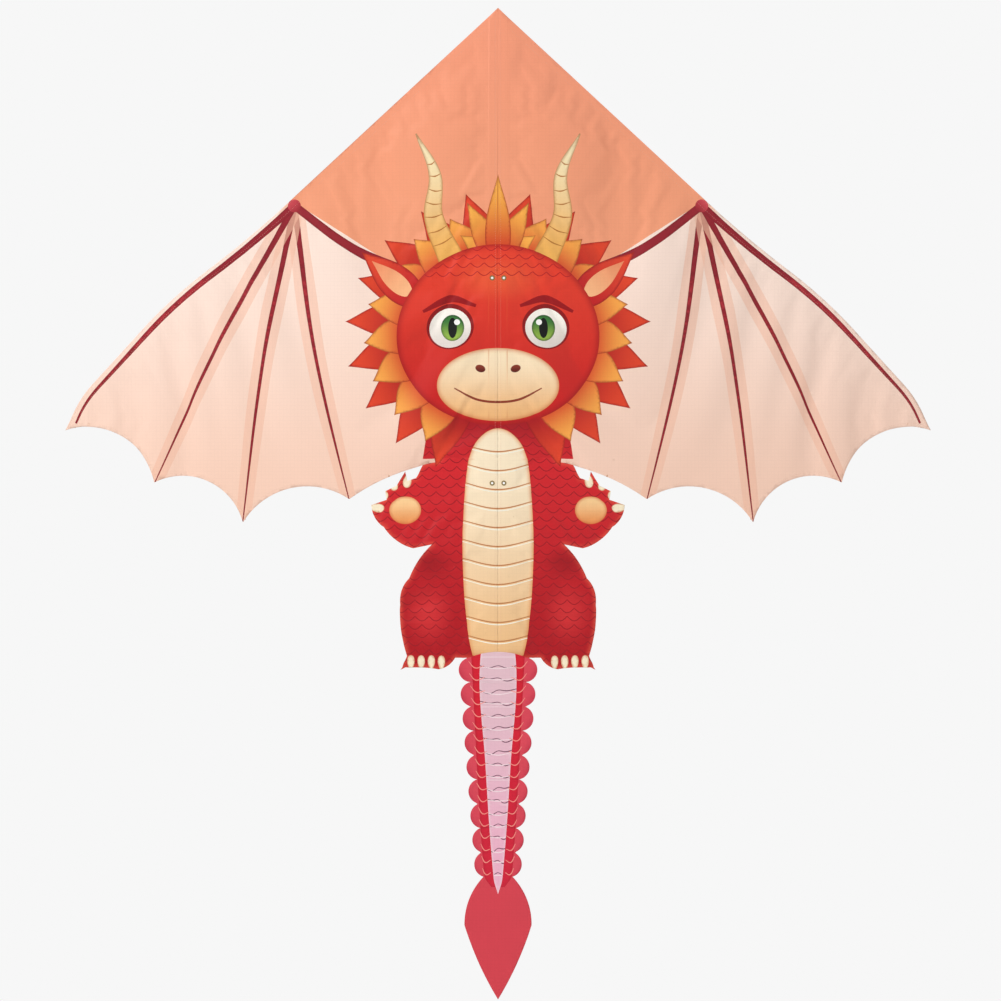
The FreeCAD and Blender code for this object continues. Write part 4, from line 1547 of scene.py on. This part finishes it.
        finish_as(piece, body, "pocket_webbing", self.finishes.plain(Look.WEBBING))
        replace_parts(piece, node)
        return piece

    def webbing_pockets(self) -> None:
        """Pockets that hold the ends of the spine."""
        self.pocket("nose_webbing", "nose_pocket", "spine", -1)
        self.pocket("foot_webbing", "foot_pocket", "spine", 1)
        for side in SIDES:
            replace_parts(self.tip_pocket(side), f"tip_pocket_{side}")

    def tip_pocket(self, side: str) -> bpy.types.Object:
        """Folded webbing around the outer end of a leading spar."""
        line = evenly(self.pattern.inset(self.SPAR_INSET), 3.0)
        away = np.linalg.norm(line - self.pattern.leading[-1], axis=1)
        run = line[(away < 36) & (away > 9)]
        profile = self.arch(4.9, 3.3, 0.45, 8.3)
        piece = self.swept(f"tip_webbing_{side}", self.mirrored([run], side), profile, 0.6)
        return finish_as(piece, f"wing_{side}", "pocket_webbing", self.finishes.plain(Look.WEBBING))

    def connector_arms(self) -> None:
        """Soft tubes that join the spreaders and bend where the wings fold."""
        for side, sign in SIDES.items():
            low, high = (np.array(c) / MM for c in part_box(f"connector_arm_{side}"))
            height = (low[2] + high[2]) / 2
            depth = self.wing.flat(node_points(f"spreader_{side}"), sign)[:, 1].mean()
            flat = np.array([(sign * x, depth, height) for x in np.linspace(6.8, 47.6, 28)])
            centre = self.wing.fold(flat)
            for _ in range(3):
                centre[1:-1] = (centre[:-2] + centre[1:-1] * 2 + centre[2:]) / 4
            bpy.ops.object.select_all(action="DESELECT")
            bpy.ops.mesh.primitive_circle_add(vertices=self.TUBE_SIDES, radius=1, location=(0, 0, 0))
            piece = bpy.context.object
            piece.name = piece.data.name = f"joint_tube_{side}"
            bpy.ops.object.mode_set(mode="EDIT")
            bpy.ops.mesh.select_all(action="SELECT")
            for _ in range(len(centre) - 1):
                bpy.ops.mesh.extrude_region_move()
            bpy.ops.object.mode_set(mode="OBJECT")
            outer = (high[2] - low[2]) / 2
            turns = np.linspace(0, 2 * math.pi, self.TUBE_SIDES, endpoint=False)
            way = np.gradient(centre, axis=0)
            way /= np.linalg.norm(way, axis=1)[:, None]
            for k, (spot, along) in enumerate(zip(centre, way)):
                cross = np.cross(along, (0, 0, 1))
                ring = spot + outer * (np.cos(turns)[:, None] * cross + np.sin(turns)[:, None] * (0, 0, 1))
                for j, place in enumerate(ring):
                    piece.data.vertices[k * self.TUBE_SIDES + j].co = place * MM
            face_outwards(piece)
            thicken(piece, outer - self.TUBE_BORE)
            round_edges(piece, 0.0003)
            finish_as(piece, "", "vinyl", self.finishes.plain(Look.VINYL))
            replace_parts(piece, f"connector_arm_{side}")
            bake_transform(piece)

    # -- tail --

    def tail(self) -> None:
        """The printed tail: a sheet across each of its bends."""
        chain = ["tail_tab", "tail_segment_1", "tail_segment_2", "tail_segment_3", "tail_segment_4", "tail_spade"]
        panels, bends = [outlines(node, node_points(node))[0] for node in chain], []
        for above, below in zip(panels, panels[1:]):
            bend = (above[:, 1].min() + below[:, 1].max()) / 2
            bends.append(bend)
            above[np.abs(above[:, 1] - bend) < 0.75, 1] = bend
            below[np.abs(below[:, 1] - bend) < 0.75, 1] = bend
        tip = panels[-1][:, 1].min()
        root = bends[-1] - (bends[0] - bends[1]) / 2
        cuts = [panels[0][:, 1].max() + 5, *((a + b) / 2 for a, b in zip(bends, bends[1:])), tip - 5]
        strips = [np.array([(-90, low), (90, low), (90, high), (-90, high)]) for high, low in zip(cuts, cuts[1:])]
        art = TailPrint(bends[0], root, tip, 40.0, 20.0).draw(9)
        loose = rows((-56, tip, 56, cuts[0]), 3.6)
        held = np.zeros(len(loose), bool)
        for panel in panels:
            held |= inside(loose, panel)
        flat = FlatCloth.cut(panels, [], strips, art, loose[held])
        materials = [self.finishes.cloth("tail_cloth", False), self.finishes.cloth("tail_cloth_back", True)]
        for number, bend in enumerate(bends):
            part = flat.part(number)
            depth = self.TAIL_FRONT + self.ripple(part.spots, bends[0])
            spots = np.stack([part.spots[:, 0], depth, part.spots[:, 1]], axis=1)
            piece = mesh_piece(f"tail_cloth_{number + 1}", spots, part.faces.tolist(), part.colours)
            finish_as(piece, "", "tail_cloth", *materials)
            thicken(piece, self.CLOTH, back=1)
            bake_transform(piece)
            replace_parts(piece, *([chain[0]] if number == 0 else []), chain[number + 1])
            part.area()

    def ripple(self, spots: np.ndarray, top: float) -> np.ndarray:
        """How far the tail waves from flat, in millimetres; it is flat where it is sewn on."""
        x, z = spots[:, 0], spots[:, 1]
        down = np.clip((top - 10 - z) / 60, 0, 1)
        edge = np.clip((np.abs(x) - 12) / 34, 0, 1) ** 1.4
        curl = 1.9 * edge * np.sin((top - z) / 16.6 * math.pi / 2 + np.where(x > 0, 0.0, 1.9))
        sway = 1.2 * np.sin((top - z) / 95.0)
        return down * (curl + sway) - down * 0.4


class Studio:
    """The floor, the lights and the camera."""

    FRAMING = 1.371
    DISTANCE = 9.0

    def __init__(self) -> None:
        """Measure what is looked at."""
        low, high = CAD_BOX
        self.middle = Vector((0.0034, 0.0, (low.z + high.z) / 2 + 0.0042))
        self.floor = low.z - 0.28

    def build(self) -> None:
        """Build the studio."""
        self.ground()
        self.air()
        self.lights()
        self.camera()
        bpy.context.scene.view_settings.view_transform = "Standard"

    def ground(self) -> None:
        """A round pale floor below the kite."""
        bpy.ops.object.select_all(action="DESELECT")
        bpy.ops.mesh.primitive_circle_add(vertices=96, radius=3.2, fill_type="NGON", location=(0, 0, self.floor))
        ground = bpy.context.object
        ground.name = "floor"
        bpy.ops.object.mode_set(mode="EDIT")
        bpy.ops.mesh.select_all(action="SELECT")
        bpy.ops.mesh.extrude_region_move(TRANSFORM_OT_translate={"value": (0, 0, -0.04)})
        bpy.ops.object.mode_set(mode="OBJECT")
        material = bpy.data.materials.new("floor")
        material.use_nodes = True
        shader = material.node_tree.nodes["Principled BSDF"]
        shader.inputs["Base Color"].default_value = (0.96, 0.96, 0.958, 1.0)
        shader.inputs["Roughness"].default_value = 0.9
        ground.data.materials.append(material)

    def air(self) -> None:
        """Pale surroundings that light the kite less than they show."""
        world = bpy.data.worlds.new("studio")
        world.use_nodes = True
        world.node_tree.nodes.clear()
        wire = Wire(world.node_tree)
        lit = wire.add("ShaderNodeBackground", {"Color": (1.0, 0.995, 0.985, 1.0), "Strength": 0.36})
        seen = wire.add("ShaderNodeBackground", {"Color": (0.93, 0.93, 0.93, 1.0), "Strength": 1.0})
        sight = wire.add("ShaderNodeLightPath").outputs["Is Camera Ray"]
        mixed = wire.add("ShaderNodeMixShader", {0: sight, 1: lit.outputs[0], 2: seen.outputs[0]})
        wire.add("ShaderNodeOutputWorld", {0: mixed.outputs[0]})
        bpy.context.scene.world = world

    def lights(self) -> None:
        """A large soft key, a fill and a light from behind."""
        for name, place, aim, size, power in (
                ("key", (-2.8, -2.5, 2.3), (0, 0, -0.25), 2.0, 114.0),
                ("fill", (2.8, -3.6, 0.6), (0, 0, -0.3), 3.0, 38.5),
                ("rim", (0.6, 3.0, 2.6), (0, 0, -0.2), 3.0, 94.0)):
            light = bpy.data.lights.new(name, "AREA")
            light.size, light.energy = size, power
            lamp = bpy.data.objects.new(name, light)
            lamp.location = place
            lamp.rotation_euler = (Vector(aim) - Vector(place)).to_track_quat("-Z", "Y").to_euler()
            bpy.context.collection.objects.link(lamp)

    def camera(self) -> None:
        """A far camera, square to the kite."""
        lens = bpy.data.cameras.new("camera")
        lens.sensor_width = 36.0
        lens.lens = 36.0 * self.DISTANCE / self.FRAMING
        lens.clip_end = 60.0
        camera = bpy.data.objects.new("camera", lens)
        camera.location = self.middle - Vector((0, self.DISTANCE, 0))
        camera.rotation_euler = (math.radians(90), 0, 0)
        bpy.context.collection.objects.link(camera)
        bpy.context.scene.camera = camera


def main() -> None:
    """Build the kite and its studio."""
    logging.basicConfig(level=logging.INFO, format="%(name)s: %(message)s")
    Kite().build()
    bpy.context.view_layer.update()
    Studio().build()


if __name__ == "__main__":
    main()
